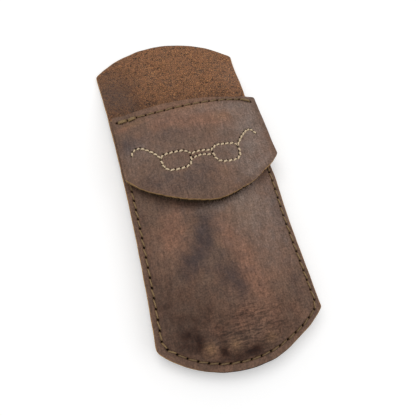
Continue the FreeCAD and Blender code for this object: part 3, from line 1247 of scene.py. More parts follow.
@dataclass(frozen=True)
class WaxedThread(Finish):
    """Waxed linen thread, three plies laid together: dull, with a soft shine on the wax and painted shade
    between plies."""

    pale: str
    dark: str
    roughness: float = 0.62
    marks = ("hollow",)
    patterns = {"streak": Pattern(0.9, 3.0, 0.7)}
    relief_mm = 0.1
    relief_strength = 0.3
    gloss = {"Specular IOR Level": 0.4}

    def paint(self, ground: Ground) -> Paint:
        """Lay painted shade between its plies, and darken the thread in streaks and where it is dull.

        Args:
            ground: what the finish is painted from.

        Returns:
            Colour, roughness and height of the relief.
        """
        tree, streak = ground.tree, ground.noise["streak"]
        share = add_node(tree, "ShaderNodeMapRange", {
            "Value": streak, "From Min": 0.35, "From Max": 0.7, "To Max": 0.55})
        share = add_node(tree, "ShaderNodeMath", {0: ground.mark["hollow"], 1: share.outputs[0]},
                         operation="MAXIMUM")
        colour = add_node(tree, "ShaderNodeMix", {
            0: share.outputs[0], 6: linear(self.pale), 7: linear(self.dark)}, data_type="RGBA")
        return colour.outputs[2], self.roughness, streak


# Leather panels


PATCH_BORDER = (Waves(0.22, 11.0), Waves(0.12, 5.0))


@dataclass(frozen=True)
class Patch:
    """A soft patch of colour on the leather: its middle, half its width and height in millimetres, its turn
    in degrees and its strength."""

    x: float
    y: float
    wide: float
    high: float
    turn: float = 0.0
    strength: float = 1.0

    def share(self, x: np.ndarray, y: np.ndarray) -> np.ndarray:
        """Work out the patch's strength, which has a ragged border.

        Args:
            x: places across the case.
            y: places along the case.

        Returns:
            The strength at each place.
        """
        angle = math.radians(self.turn)
        broad, fine = PATCH_BORDER
        ragged = 1 + broad.height(x, y) + fine.height(y, x)
        across = ((x - self.x) * math.cos(angle) + (y - self.y) * math.sin(angle)) / self.wide
        up = ((y - self.y) * math.cos(angle) - (x - self.x) * math.sin(angle)) / self.high
        return self.strength * bell(np.hypot(across, up) * ragged)


@dataclass(frozen=True)
class Pit:
    """An awl hole's shape: half its length and width, its depth, and the depth and half the width of the dent
    along the row, in millimetres."""

    long: float
    wide: float
    deep: float
    dent: float
    dent_wide: float


SEAM_PIT = Pit(0.6, 0.36, 1.1, 0.25, 0.8)
MOUTH_PIT = Pit(0.52, 0.38, 1.0, 0.42, 0.7)
MOTIF_PIT = Pit(0.48, 0.42, 0.7, 0.14, 0.6)
# The spectacles' holes show a little above their thread.
MOTIF_PIT_LIFT = np.array([0.0, 0.45, 0.0])
Holes = list[tuple[np.ndarray, StitchRow, float, Pit]]


@dataclass
class LeatherPanel:
    """One cut panel of leather: its outline, its bends, its holes and its finishes.

    The finishes are the grain side's, the flesh side's and the cut edge's. The cells are the faces across and
    up, before they are divided along the rows of stitches.
    """

    form: PouchForm
    rows: Rows
    finishes: Finishes
    name: str = "panel"
    nodes: tuple[str, ...] = ()
    cells: tuple[int, int] = (110, 190)
    grain_in_front: bool = True
    to_top: bool = False
    held: Held = Held.LAID
    flat_mm: tuple[float, float] = (66.0, 152.0)
    piece: bpy.types.Object | None = None
    cut_area: float = 0.0
    patches: ClassVar[dict[str, tuple[Patch, ...]]] = {}
    marks: ClassVar = ("rust", "grey", "deep", "pale", "painted_sheen", "crush", "shade", "dark_edge_and_shade")
    under_slot: ClassVar = 1
    edge_slot: ClassVar = 2
    sharp_angle: ClassVar = math.radians(50)
    smooth_angle: ClassVar = math.radians(55)
    # Rows are followed in steps, in millimetres. A dent and a hole reach some times their own size, and a
    # hole this deep. What looks to a side has at least this much of its normal that way.
    line_step: ClassVar = 0.3
    dent_reach: ClassVar = 2.2
    hole_reach: ClassVar = 2.6
    hole_skin: ClassVar = 0.8
    facing_face: ClassVar = 0.5
    facing_point: ClassVar = 0.2
    # Rubbed near the rim, in millimetres, and painted shade on the cut edge below, by the tilt of the normal.
    rubbed_from: ClassVar = 0.5
    rubbed_over: ClassVar = 3.2
    edge_shade_share: ClassVar = 0.4
    shade_level: ClassVar = 0.5
    shade_tilt: ClassVar = 1.5

    def outline(self, u: np.ndarray, v: np.ndarray) -> Places:
        """Cut the case's outline, up to its top or to the mouth.

        Args:
            u: shares across, from -1 to 1.
            v: shares up, from 0 to 1.

        Returns:
            Flat places across and along the case.
        """
        form = self.form
        x = u * form.half_width
        y = (1 - v) * form.bottom_y(x) + v * (form.top_y(x) if self.to_top else form.mouth_y)
        side_end = form.high_corner_y if self.to_top else form.mouth_y
        side_y = form.low_corner_y + v * (side_end - form.low_corner_y)
        to_right = np.maximum(u, 0) ** form.right_bulge_power
        x = u * form.side_x(side_y) + to_right * form.right_swell(side_y)
        for sign in (-1, 1):
            if self.to_top:
                x, y = round_case_corner(form, x, y, sign, True)
            x, y = round_case_corner(form, x, y, sign, False)
        return x, y

    def bent(self, x: np.ndarray, y: np.ndarray) -> np.ndarray:
        """Places on the panel's upper face."""
        raise NotImplementedError

    def holes(self) -> Holes:
        """Each row's places on a face, the row, the side that the face looks to and the holes' shape."""
        raise NotImplementedError

    def build(self) -> bpy.types.Object:
        """Model the panel.

        Returns:
            The finished mesh.
        """
        clear_selection()
        form = self.form
        across, up = self.cells
        bpy.ops.mesh.primitive_grid_add(x_subdivisions=across, y_subdivisions=up, size=2.0)
        self.piece = bpy.context.object
        self.piece.name = self.piece.data.name = self.name
        mesh = self.piece.data
        grain, flesh, edge = self.finishes
        for material in (grain, flesh, edge) if self.grain_in_front else (flesh, grain, edge):
            mesh.materials.append(material)
        square = read_points(mesh) * MM
        x, y = self.outline(square[:, 0], (square[:, 1] + 1) / 2)
        waver_x, waver_y = form.cut_waver
        x, y = x + waver_x.height(y, x), y + waver_y.height(x, y)
        write_points(mesh, self.bent(x, y))
        self.cut_area = sum(face.area for face in mesh.polygons)
        apply_modifier(self.piece, "SOLIDIFY", thickness=form.leather * MM, offset=-1.0, use_even_offset=True,
                       use_quality_normals=True, material_offset=self.under_slot,
                       material_offset_rim=self.edge_slot)
        apply_modifier(self.piece, "BEVEL", width=form.edge_round * MM, segments=2, limit_method="ANGLE",
                       angle_limit=self.sharp_angle, material=self.edge_slot)
        self.divide_rows()
        self.press_holes()
        self.mark_wear(np.stack([x, y], -1))
        take(self.piece)
        bpy.ops.object.shade_smooth_by_angle(angle=self.smooth_angle)
        return self.piece

    def divide_rows(self) -> None:
        """Divide the leather finely along its rows of stitches."""
        mesh = self.piece.data
        take(self.piece)
        for places, _, side, pit in self.holes():
            gap = nearest_gap(read_rows(mesh.polygons, "center") / MM, spaced(places, self.line_step))
            facing = read_rows(mesh.polygons, "normal")[:, 2] * side > self.facing_face
            select_parts(mesh, Part.FACES, (gap < self.dent_reach * pit.dent_wide) & facing)
            edit(bpy.ops.mesh.subdivide, number_cuts=2)

    def press_holes(self) -> None:
        """Press a dent into the leather along each row, and its holes."""
        mesh = self.piece.data
        points = read_points(mesh)
        normals = read_normals(mesh)
        dark = np.zeros(len(points))
        push = np.zeros_like(points)
        tree = point_tree(points)
        for places, row, side, pit in self.holes():
            facing = normals[:, 2] * side > self.facing_point
            gap = np.full(len(points), math.inf)
            for place in spaced(places, self.line_step):
                for _, index, distance in tree.find_range(place, self.dent_reach * pit.dent_wide):
                    gap[index] = min(gap[index], distance)
            dent = np.where(facing, pit.dent * bell(gap / pit.dent_wide), 0)
            push -= dent[:, None] * normals
            for place, along, across, out in zip(places, row.along, row.across, row.out * side):
                near = np.array([i for _, i, _ in tree.find_range(place, self.hole_reach * pit.long)], int)
                if not len(near):
                    continue
                gone = points[near] - place
                reach = np.hypot(gone @ along / pit.long, gone @ across / pit.wide)
                on_face = facing[near] & (np.abs(gone @ out) < self.hole_skin)
                share = np.where(on_face, np.exp(-(reach**4)), 0)
                push[near] -= (share * pit.deep)[:, None] * out
                dark[near] = np.maximum(dark[near], share)
        write_points(mesh, points + push)
        # The pit mark is painted shade, darkest in the middle of each hole.
        write_mark(mesh, "pit", dark)

    def mark_wear(self, flat: np.ndarray) -> None:
        """Store where the leather is rubbed, coloured and crushed, and where painted shade, sheen and
        highlights go.

        Args:
            flat: places of the grid's points before the leather was bent.
        """
        mesh = self.piece.data
        points = read_points(mesh)
        across, up = self.cells
        grid = flat.reshape(up + 1, across + 1, 2)
        rim = np.concatenate([grid[0], grid[-1], grid[:, 0], grid[:, -1]])
        rim = np.hstack([rim, np.zeros((len(rim), 1))])
        inside = (nearest_gap(points * (1, 1, 0), rim) - self.rubbed_from) / self.rubbed_over
        write_mark(mesh, "rubbed", 1 - soft_step(inside))
        for name in self.marks:
            total = np.zeros(len(points))
            for patch in self.patches.get(name, ()):
                total = total + patch.share(points[:, 0], points[:, 1])
            # The cut edge's down-facing half takes painted shade, by the tilt of its normal.
            if name == "dark_edge_and_shade":
                below = soft_step(self.shade_level - self.shade_tilt * read_normals(mesh)[:, 2])
                total += self.edge_shade(points[:, 0]) * below
            write_mark(mesh, name, total)

    def edge_shade(self, x: np.ndarray) -> np.ndarray:
        """How much painted shade the lower half of the cut edge takes at each place across."""
        return np.full_like(x, self.edge_shade_share)

    def dress(self) -> None:
        """Hide the imported parts that the panel stands for."""
        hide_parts(*self.nodes)

    def declare(self, rests_on: Sequence[str] = (), with_pieces: Sequence[bpy.types.Object] = ()) -> None:
        """Work out the smaller of the panel's cut area and its flat size, and keep nothing.

        Args:
            rests_on: names of what the panel lies on or hangs from; not used.
            with_pieces: pieces that go with the panel; not used.
        """
        wide, high = (side * MM for side in self.flat_mm)
        min(self.cut_area, wide * high)


@dataclass
class BackPanel(LeatherPanel):
    """The tall back panel, flesh side in front and grain behind."""

    name: str = "back_leather"
    nodes: tuple[str, ...] = ("back_panel",)
    cells: tuple[int, int] = (110, 250)
    grain_in_front: bool = False
    to_top: bool = True
    flat_mm: tuple[float, float] = (66.4, 153.0)
    upper_lift: float = 0.25
    upper_waves: Waves = Waves(0.25, 18.0)
    upper_over: float = 20.0
    patches = {
        "rust": (Patch(-9, 20, 9, 22, 12), Patch(14, -34, 8, 15, -18), Patch(2, 58, 15, 6)),
        "grey": (Patch(12, 10, 8, 16, -15), Patch(-16, -42, 8, 12, 20), Patch(0, -68, 18, 4)),
        # The shade marks on the flesh side are painted shadow: on the left, where pens would shade it, and
        # just above the pocket's mouth.
        "shade": (Patch(-27, 52, 13, 16, 0, 0.6), Patch(0, 40, 34, 8, 0, 0.35)),
        # Painted shade along the bottom edge; the top edge is darker.
        "dark_edge_and_shade": (Patch(0, -76, 30, 11), Patch(4, 76, 22, 9, 0, 0.8)),
    }

    def bent(self, x: np.ndarray, y: np.ndarray) -> np.ndarray:
        """Bend the flesh side, a little uneven above the mouth.

        Args:
            x: places across the case.
            y: places along the case.

        Returns:
            Places on the flesh side, one a row.
        """
        places = self.form.off(self.form.back_height, x, y, self.form.leather)
        upper = soft_step((y - self.form.mouth_y) / self.upper_over)
        places[:, 2] += upper * (self.upper_lift + self.upper_waves.height(x, y))
        return places

    def holes(self) -> Holes:
        """The side seam on the back."""
        return [(self.rows.side.under, self.rows.side, -1.0, SEAM_PIT)]

    def build(self) -> bpy.types.Object:
        """Model the panel, level where it rests.

        Returns:
            The finished mesh.
        """
        piece = super().build()
        points = read_points(piece.data)
        points[:, 2] = np.maximum(points[:, 2], 0)
        write_points(piece.data, points)
        return piece


@dataclass
class FrontPanel(LeatherPanel):
    """The front of the pocket, grain in front."""

    name: str = "front_leather"
    nodes: tuple[str, ...] = ("front_panel",)
    cells: tuple[int, int] = (110, 187)
    held: Held = Held.STRETCHED
    flat_mm: tuple[float, float] = (67.2, 113.0)
    patches = {
        "rust": (
            Patch(-15.6, -14, 5, 6, 0, 0.75), Patch(-17.2, -24, 4.5, 7, 4, 0.85),
            Patch(4.4, -27, 3.5, 8, 12), Patch(7.6, -39, 4.0, 8, -10), Patch(11, -50, 4.0, 8, -6, 0.8),
            Patch(-10.5, -59.4, 4, 4, 0, 0.7), Patch(20, -34, 5, 12, 10, 0.3),
            Patch(13, -60, 4, 4, 0, 0.6), Patch(1, -57, 5, 4, 0, 0.5),
        ),
        "grey": (
            Patch(-3.5, -18, 3.6, 7, -15, 0.65), Patch(-7.2, -27.6, 4.4, 8.5, -38, 1.0),
            Patch(28, -19, 3, 8, 0, 0.7), Patch(0, -41, 6, 8, 0, 0.7), Patch(26.7, -53, 4, 9, 0, 0.4),
            Patch(0, -10, 20, 3, 0, 0.3), Patch(-14, -34.5, 6, 4.4, 10, 0.6),
            Patch(4.0, -47, 3, 5, 0, 0.6),
        ),
        # Painted shade along the bottom seam and over the lower part; the left margin is darker too.
        "deep": (
            Patch(-0.5, -70.6, 13, 2.6, 0, 0.8), Patch(-19.5, -58.5, 10, 10, 0, 0.36),
            Patch(2.6, -68.0, 3, 3, 0, 0.3), Patch(-9, -67.5, 2, 3, 0, 0.45),
            Patch(-4, -61, 24, 8, 0, 0.33), Patch(17, -65, 6, 4, 0, 0.3), Patch(-17, -47, 16, 14, 0, 0.36),
            Patch(-27, -46, 5, 13, 0, 0.3), Patch(-27, -16, 4, 10, 0, 0.12),
            Patch(-18.5, -64, 5, 4.5, 0, 0.3), Patch(20, -57, 5, 5, 0, 0.2),
            Patch(-29, -14, 3, 22, 0, 0.22),
        ),
        # Painted sheen on the right side, and painted light that eases the shadow just below the flap's edge.
        "painted_sheen": (
            Patch(19, -16, 13, 13, 0, 0.48), Patch(21, -35, 9, 12, 0, 0.2),
            Patch(16, -9, 8, 3.5, 25, 0.25), Patch(2, -12.8, 9, 2.4, 0, 0.3),
        ),
        # The first three are painted highlights on the pressed bumps; the last is lighter tone.
        "pale": (
            Patch(-13.5, -65.8, 2.1, 2.4, 0, 0.5), Patch(-4.1, -66.2, 2.0, 1.8, 0, 0.45),
            Patch(9.9, -67.3, 1.9, 1.7, 0, 0.4), Patch(14, -16, 8, 7, 20, 0.15),
        ),
        "crush": (Patch(0, -64, 20, 9), Patch(6, -54, 10, 6, 0, 0.5)),
        # Painted shade along the bottom edge.
        "dark_edge_and_shade": (Patch(0, -76, 30, 11),),
    }

    def bent(self, x: np.ndarray, y: np.ndarray) -> np.ndarray:
        """Places on the grain side."""
        return self.form.off(self.form.front_height, x, y, self.form.leather)

    def holes(self) -> Holes:
        """The side seam in front."""
        return [(self.rows.side.top, self.rows.side, 1.0, SEAM_PIT)]


@dataclass
class Flap(LeatherPanel):
    """The flap, sewn down along the mouth, grain in front."""

    name: str = "flap_leather"
    nodes: tuple[str, ...] = ("flap_seam_strip", "flap_panel")
    cells: tuple[int, int] = (128, 94)
    held: Held = Held.HUNG
    flat_mm: tuple[float, float] = (65.8, 48.6)
    least_edge_shade: float = 0.1
    edge_shade_across: Ramp = Ramp(20.0, -4.0)
    patches = {
        "rust": (
            Patch(-9, 27, 8, 3, 0, 0.8), Patch(5.7, 25.5, 9, 4), Patch(16, 26, 7, 4),
            Patch(9.5, -1, 3, 5, 0, 0.45), Patch(-27.5, 29.0, 5, 1.3, 8), Patch(4, 32.5, 13, 2.5, 0, 0.7),
            Patch(-6, 35, 16, 1.8, -4, 0.8), Patch(14, 35.5, 12, 1.5, 0, 0.6),
        ),
        "grey": (
            Patch(-27.7, 19.8, 7, 4.5, 0, 1.0), Patch(-9.5, 20.5, 8, 3.5, 0, 0.5),
            Patch(-6.1, -3.5, 11, 5, 0, 0.55), Patch(-19, 0.5, 8, 3.5, 0, 0.5),
            Patch(1, 2.5, 8, 3.5, 0, 0.45),
        ),
        "deep": (Patch(-23, 0, 6, 4, 0, 0.22), Patch(-28, 20.5, 5, 3, 0, 0.2)),
        # Painted sheen, mostly on the right and along the lower right edge, and faintly over the whole flap.
        "painted_sheen": (
            Patch(27, 21, 10, 14, 0, 0.44), Patch(22, 5, 13, 9, 0, 0.25), Patch(16, 31, 16, 3, 0, 0.3),
            Patch(-24, 17, 8, 5, 0, 0.2), Patch(0, 12, 44, 24, 0, 0.13), Patch(24, -2, 7, 3.5, 30, 0.4),
        ),
        "pale": (
            Patch(16, 26, 6, 3, 0, 0.25), Patch(9.5, -0.5, 2, 3, 0, 0.15),
            Patch(-22.5, 30.6, 4.5, 1.3, 5, 0.35), Patch(3, 32.6, 9, 1.6, 0, 0.3),
            Patch(2, 35.4, 22, 1.2, 0, 0.2),
        ),
    }

    def outline(self, u: np.ndarray, v: np.ndarray) -> Places:
        """Cut the flap's outline, frayed below and drawn down at its right corners.

        Args:
            u: shares across, from -1 to 1.
            v: shares up, from 0 to 1.

        Returns:
            Flat places across and along the case.
        """
        form = self.form
        half = form.flap_width / 2
        x = u * half
        y = (1 - v) * form.flap_edge_y(x) + v * form.mouth_y
        slope = float(form.flap_edge_y(np.array(half - 1.0))) - form.flap_corner_y
        for sign in (-1, 1):
            low = (sign * half, form.flap_corner_y)
            x, y = round_corner(x, y, low, ((-sign, slope), (0.0, 1.0)), form.flap_corner)
            high = (sign * half, form.mouth_y)
            x, y = round_corner(x, y, high, ((-sign, 0.0), (0.0, -1.0)), form.flap_corner)
        y = y + form.fray.height(x, y) * soft_step(1 - v * form.fray_fade)
        low = 1 - v
        to_right = form.low_corner_across.share(x)
        out, rise = form.low_corner_shift
        x = x + out * to_right * low
        y = y - form.flap_sag.amount(x) * low + form.flap_hitch.amount(x) * low
        y = y + rise * to_right * low - form.high_corner_drop * form.high_corner_across.share(x) * v**3
        return x + form.flap_shift, y

    def bent(self, x: np.ndarray, y: np.ndarray) -> np.ndarray:
        """Places on the grain side."""
        depth = self.form.flap_depth(y) + self.form.leather
        return self.form.off(self.form.flap_height, x, y, depth)

    def holes(self) -> Holes:
        """List the holes of the mouth seam, and those of the spectacles on both faces.

        Returns:
            Each row's places, the row, the side that its face looks to and the holes' shape.
        """
        found = [(self.rows.mouth.top, self.rows.mouth, 1.0, MOUTH_PIT)]
        for row in self.rows.motif.values():
            found.append((row.top + MOTIF_PIT_LIFT, row, 1.0, MOTIF_PIT))
            found.append((row.under, row, -1.0, MOTIF_PIT))
        return found

    def edge_shade(self, x: np.ndarray) -> np.ndarray:
        """The flap's edge takes painted shade on the left, where it stands off the front, and keeps its tan
        colour on the right.
        """
        return self.least_edge_shade + (1 - self.least_edge_shade) * self.edge_shade_across.share(x)

    def hinge(self) -> None:
        """Bake the flap's place into its mesh."""
        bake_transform(self.piece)


# Loose fibres


@dataclass
class EdgeFibres:
    """Loose fibres of the flesh side that stand out below the flap's cut edge, in millimetres.

    The spread is the least, the most and the likeliest share across, the step is the share that the edge's
    direction is taken over, and the layer is the height of the roots in the leather. The last four pairs are
    how far a fibre points outward, along the edge and down, and how dark it is: near black, as painted shadow
    below the flap's edge.
    """

    form: PouchForm
    flap: Flap
    name: str = "flap_edge_fibres"
    count: int = 500
    thick: float = 0.4
    tip: float = 0.04
    long: tuple[float, float] = (0.6, 1.6)
    bow: float = 0.25
    spread: tuple[float, float, float] = (-0.97, 0.6, -0.3)
    step: float = 0.01
    layer: tuple[float, float] = (0.05, 0.75)
    rooted: float = 0.15
    outward: tuple[float, float] = (0.7, 1.1)
    along: tuple[float, float] = (-0.8, 0.8)
    down: tuple[float, float] = (0.0, 0.6)
    dark_edge_and_shade: tuple[float, float] = (0.86, 1.0)
    seed: int = 21
    piece: bpy.types.Object | None = None

    def model(self) -> bpy.types.Object:
        """Model one three-sided fibre, a millimetre long, which starts at the origin and points along z.

        Returns:
            The model, which is copied and then thrown away.
        """
        clear_selection()
        bpy.ops.mesh.primitive_cone_add(vertices=3, radius1=self.thick / 2 * MM, radius2=self.tip / 2 * MM,
                                        depth=MM, end_fill_type="NGON", location=(0, 0, 0.5 * MM))
        fibre = bpy.context.object
        bpy.ops.object.transform_apply(location=True, rotation=True, scale=True)
        edit(bpy.ops.mesh.select_all, action="SELECT")
        edit(bpy.ops.mesh.subdivide, number_cuts=1)
        points = read_points(fibre.data)
        points[:, 0] += self.bow * points[:, 2] ** 2
        write_points(fibre.data, points)
        return fibre

    def places(self) -> list[Matrix]:
        """Choose where each fibre goes: most of them left of the middle.

        Returns:
            The matrix that takes the model to each place.
        """
        chance = random.Random(self.seed)
        found = []
        for _ in range(self.count):
            u = chance.triangular(*self.spread)
            flat_x, flat_y = self.flap.outline(np.array([u, u + self.step]), np.zeros(2))
            tangent = Vector((flat_x[1] - flat_x[0], flat_y[1] - flat_y[0], 0)).normalized()
            outward = Vector((tangent.y, -tangent.x, 0))
            depth = self.form.flap_depth(flat_y) + chance.uniform(*self.layer)
            edge = Vector(self.form.off(self.form.flap_height, flat_x, flat_y, depth)[0])
            aim = outward * chance.uniform(*self.outward) + tangent * chance.uniform(*self.along)
            aim.z -= chance.uniform(*self.down)
            spin = Matrix.Rotation(chance.uniform(0, math.tau), 3, "Z")
            turn = aim.to_track_quat("Z", "Y").to_matrix() @ spin
            place = (turn @ Matrix.Diagonal((1, 1, chance.uniform(*self.long)))).to_4x4()
            place.translation = (edge - self.rooted * outward) * MM
            found.append(place)
        return found

    def build(self) -> bpy.types.Object:
        """Copy the fibre along the edge and join the copies.

        Returns:
            The joined fibres.
        """
        model = self.model()
        self.piece = join([copy_to(model, place) for place in self.places()], model, self.name)
        chance = random.Random(self.seed)
        dark = [chance.uniform(*self.dark_edge_and_shade) for _ in self.piece.data.vertices]
        write_mark(self.piece.data, "dark_edge_and_shade", np.array(dark))
        return self.piece

    def dress(self, edge: bpy.types.Material) -> None:
        """Give the fibres the cut edge's finish and let them move with the flap.

        Args:
            edge: the cut edge's finish.
        """
        self.piece.data.materials.append(edge)
        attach(self.piece, Body.FLAP.value)


# Stitches


@dataclass(frozen=True)
class StitchModel:
    """One stitch of three-ply thread between two holes, in millimetres and shares of its thickness."""

    thread: float
    run: float
    rings: int = 8
    sides: int = 9
    plies: int = 3
    ply_high: float = 1.14
    ply_low: float = 0.9
    between_plies: float = 0.55
    flattened: float = 0.9
    end_dive: float = 0.75
    end_taper: float = 0.7

    def build(self, name: str) -> bpy.types.Object:
        """Model the stitch along x, with its middle at the origin.

        Args:
            name: name of the model.

        Returns:
            The model, which is copied and then thrown away.
        """
        clear_selection()
        bpy.ops.mesh.primitive_cylinder_add(
            vertices=self.sides, radius=self.thread / 2 * MM, depth=self.run * MM, end_fill_type="NGON",
            rotation=(0, math.radians(90), 0))
        stitch = bpy.context.object
        stitch.name = name
        bpy.ops.object.transform_apply(location=True, rotation=True, scale=True)
        mesh = stitch.data
        end_x = read_points(mesh)[:, 0]
        lengthwise = [abs(np.subtract(*end_x[list(edge.vertices)])) > self.run / 2 for edge in mesh.edges]
        select_parts(mesh, Part.EDGES, lengthwise)
        edit(bpy.ops.mesh.subdivide, number_cuts=self.rings - 1)
        points = read_points(mesh)
        angle = np.arctan2(points[:, 2], points[:, 1])
        step = 2 * math.pi / self.sides
        number = np.round(angle / step - np.min(angle) / step).astype(int)
        on_ply = number % (self.sides // self.plies) == 0
        # The hollow mark is painted shade between the plies.
        write_mark(mesh, "hollow", np.where(on_ply, 0.0, self.between_plies))
        for chosen, size in ((on_ply, self.ply_high), (~on_ply, self.ply_low)):
            select_parts(mesh, Part.POINTS, chosen)
            edit(bpy.ops.transform.resize, value=(1, size, size), center_override=ORIGIN)
        station = np.round((points[:, 0] / self.run + 0.5) * self.rings).astype(int)
        for ring in range(self.rings + 1):
            out = abs(2 * ring / self.rings - 1)
            taper = 1 - (1 - self.end_taper) * out**4
            size = (1, taper, taper * self.flattened)
            select_parts(mesh, Part.POINTS, station == ring)
            edit(bpy.ops.transform.rotate, value=step * ring, orient_axis="X", center_override=ORIGIN)
            edit(bpy.ops.transform.resize, value=size, center_override=ORIGIN)
            edit(bpy.ops.transform.translate, value=(0, 0, -self.end_dive * out**6 * MM))
        return stitch


@dataclass
class SewnLine:
    """A line of stitches through the leather, copied from one model.

    The stitches lean aside, lie sunk in the leather and are shorter than their holes are apart, in
    millimetres. Bright ones, at the ends of a row, are thicker, longer and raised, and some of them are sewn
    twice. Worn ones, below a height, are duller and lean less.
    """

    name: str
    nodes: tuple[str, ...]
    row: StitchRow
    model: StitchModel
    slot: Slot
    body: Body
    aside: float
    sunk: float
    shorter: float
    seed: int
    dull: float = 0.0
    bright_ends: tuple[int, int] = (0, 0)
    bright_thick: float = 1.7
    bright_reach: float = 0.25
    bright_raise: float = 0.4
    doubled: int = 0
    double_gap: float = 0.75
    double_close: float = 0.4
    worn_below: float = -math.inf
    worn: float = 0.75
    worn_lean: float = 0.55
    piece: bpy.types.Object | None = None
    uneven_turn: ClassVar = (-4, 4)
    uneven_length: ClassVar = (0.96, 1.03)
    uneven_thickness: ClassVar = (0.93, 1.06)
    uneven_height: ClassVar = (-0.05, 0.05)

    def places(self) -> list[tuple[Matrix, float]]:
        """Choose where each stitch goes, on both faces.

        Returns:
            The matrix that takes the model to each place, and how dull the stitch is there.
        """
        chance = random.Random(self.seed)
        row = self.row
        found = []
        last = len(row.top) - 2
        for face, sign in ((row.top, 1.0), (row.under, -1.0)):
            for i in range(last + 1):
                worn = sign > 0 and face[i][1] < self.worn_below
                lean = -self.aside * sign * (self.worn_lean if worn else 1.0)
                bright = sign > 0 and (i < self.bright_ends[0] or i > last - self.bright_ends[1])
                reach = self.bright_reach if bright else 0.0
                start = face[i] + row.across[i] * lean - row.along[i] * reach
                end = face[i + 1] - row.across[i + 1] * lean + row.along[i + 1] * reach
                out = (row.out[i] + row.out[i + 1]) * sign
                sunk = self.sunk - self.bright_raise if bright else self.sunk
                thick = self.bright_thick if bright else 1.0
                dull = 0.0 if bright else self.worn if worn else self.dull
                found.append((self.between(start, end, out, sunk, thick, chance), dull))
                if sign > 0 and i < self.doubled:
                    start = start - row.across[i] * self.double_gap
                    end = end - row.across[i] * self.double_gap * self.double_close
                    found.append((self.between(start, end, out, sunk, thick, chance), 0.0))
        return found

    def between(self, start: np.ndarray, end: np.ndarray, out: np.ndarray, sunk: float, thick: float,
                chance: random.Random) -> Matrix:
        """Place of a stitch from one hole to the next.

        Args:
            start: where the stitch comes up.
            end: where it goes down.
            out: direction out of the leather.
            sunk: how deep it lies in the leather.
            thick: how thick it is, as a share of the model's thickness.
            chance: source of the small differences between stitches.

        Returns:
            The matrix that takes the model there.
        """
        run = Vector(end - start)
        forward = run.normalized()
        up = Vector(out).normalized()
        sideways = up.cross(forward).normalized()
        up = forward.cross(sideways)
        turn = Matrix.Rotation(math.radians(chance.uniform(*self.uneven_turn)), 3, up)
        long = (run.length - self.shorter) / self.model.run * chance.uniform(*self.uneven_length)
        thick *= chance.uniform(*self.uneven_thickness)
        basis = turn @ Matrix((forward, sideways, up)).transposed()
        size = Matrix.Diagonal((long, thick, thick))
        middle = (Vector(start) + Vector(end)) / 2
        middle += up * (self.model.thread / 2 - sunk + chance.uniform(*self.uneven_height))
        place = (basis @ size).to_4x4()
        place.translation = middle * MM
        return place

    def build(self) -> bpy.types.Object:
        """Copy the model along the row and join the copies.

        Returns:
            The joined stitches.
        """
        model = self.model.build(self.name + "_model")
        hollow = np.empty(len(model.data.vertices), np.float32)
        model.data.attributes["hollow"].data.foreach_get("value", hollow)
        copies = []
        for place, dull in self.places():
            copy = copy_to(model, place)
            write_mark(copy.data, "hollow", np.maximum(hollow, dull))
            copies.append(copy)
        self.piece = join(copies, model, self.name)
        take(self.piece)
        bpy.ops.object.shade_smooth()
        return self.piece

    def dress(self, thread: bpy.types.Material) -> None:
        """Give the line its finish, hide the imported parts that it stands for, and let it move with its
        body.

        Args:
            thread: the thread's finish.
        """
        self.piece.data.materials.clear()
        self.piece.data.materials.append(thread)
        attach(self.piece, self.body.value)
        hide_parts(*self.nodes)


# The studio


@dataclass(frozen=True)
class Lamp:
    """A square soft light: its place and the length of its sides in metres, and its power in watts."""

    name: str
    place: tuple[float, float, float]
    side: float
    power: float


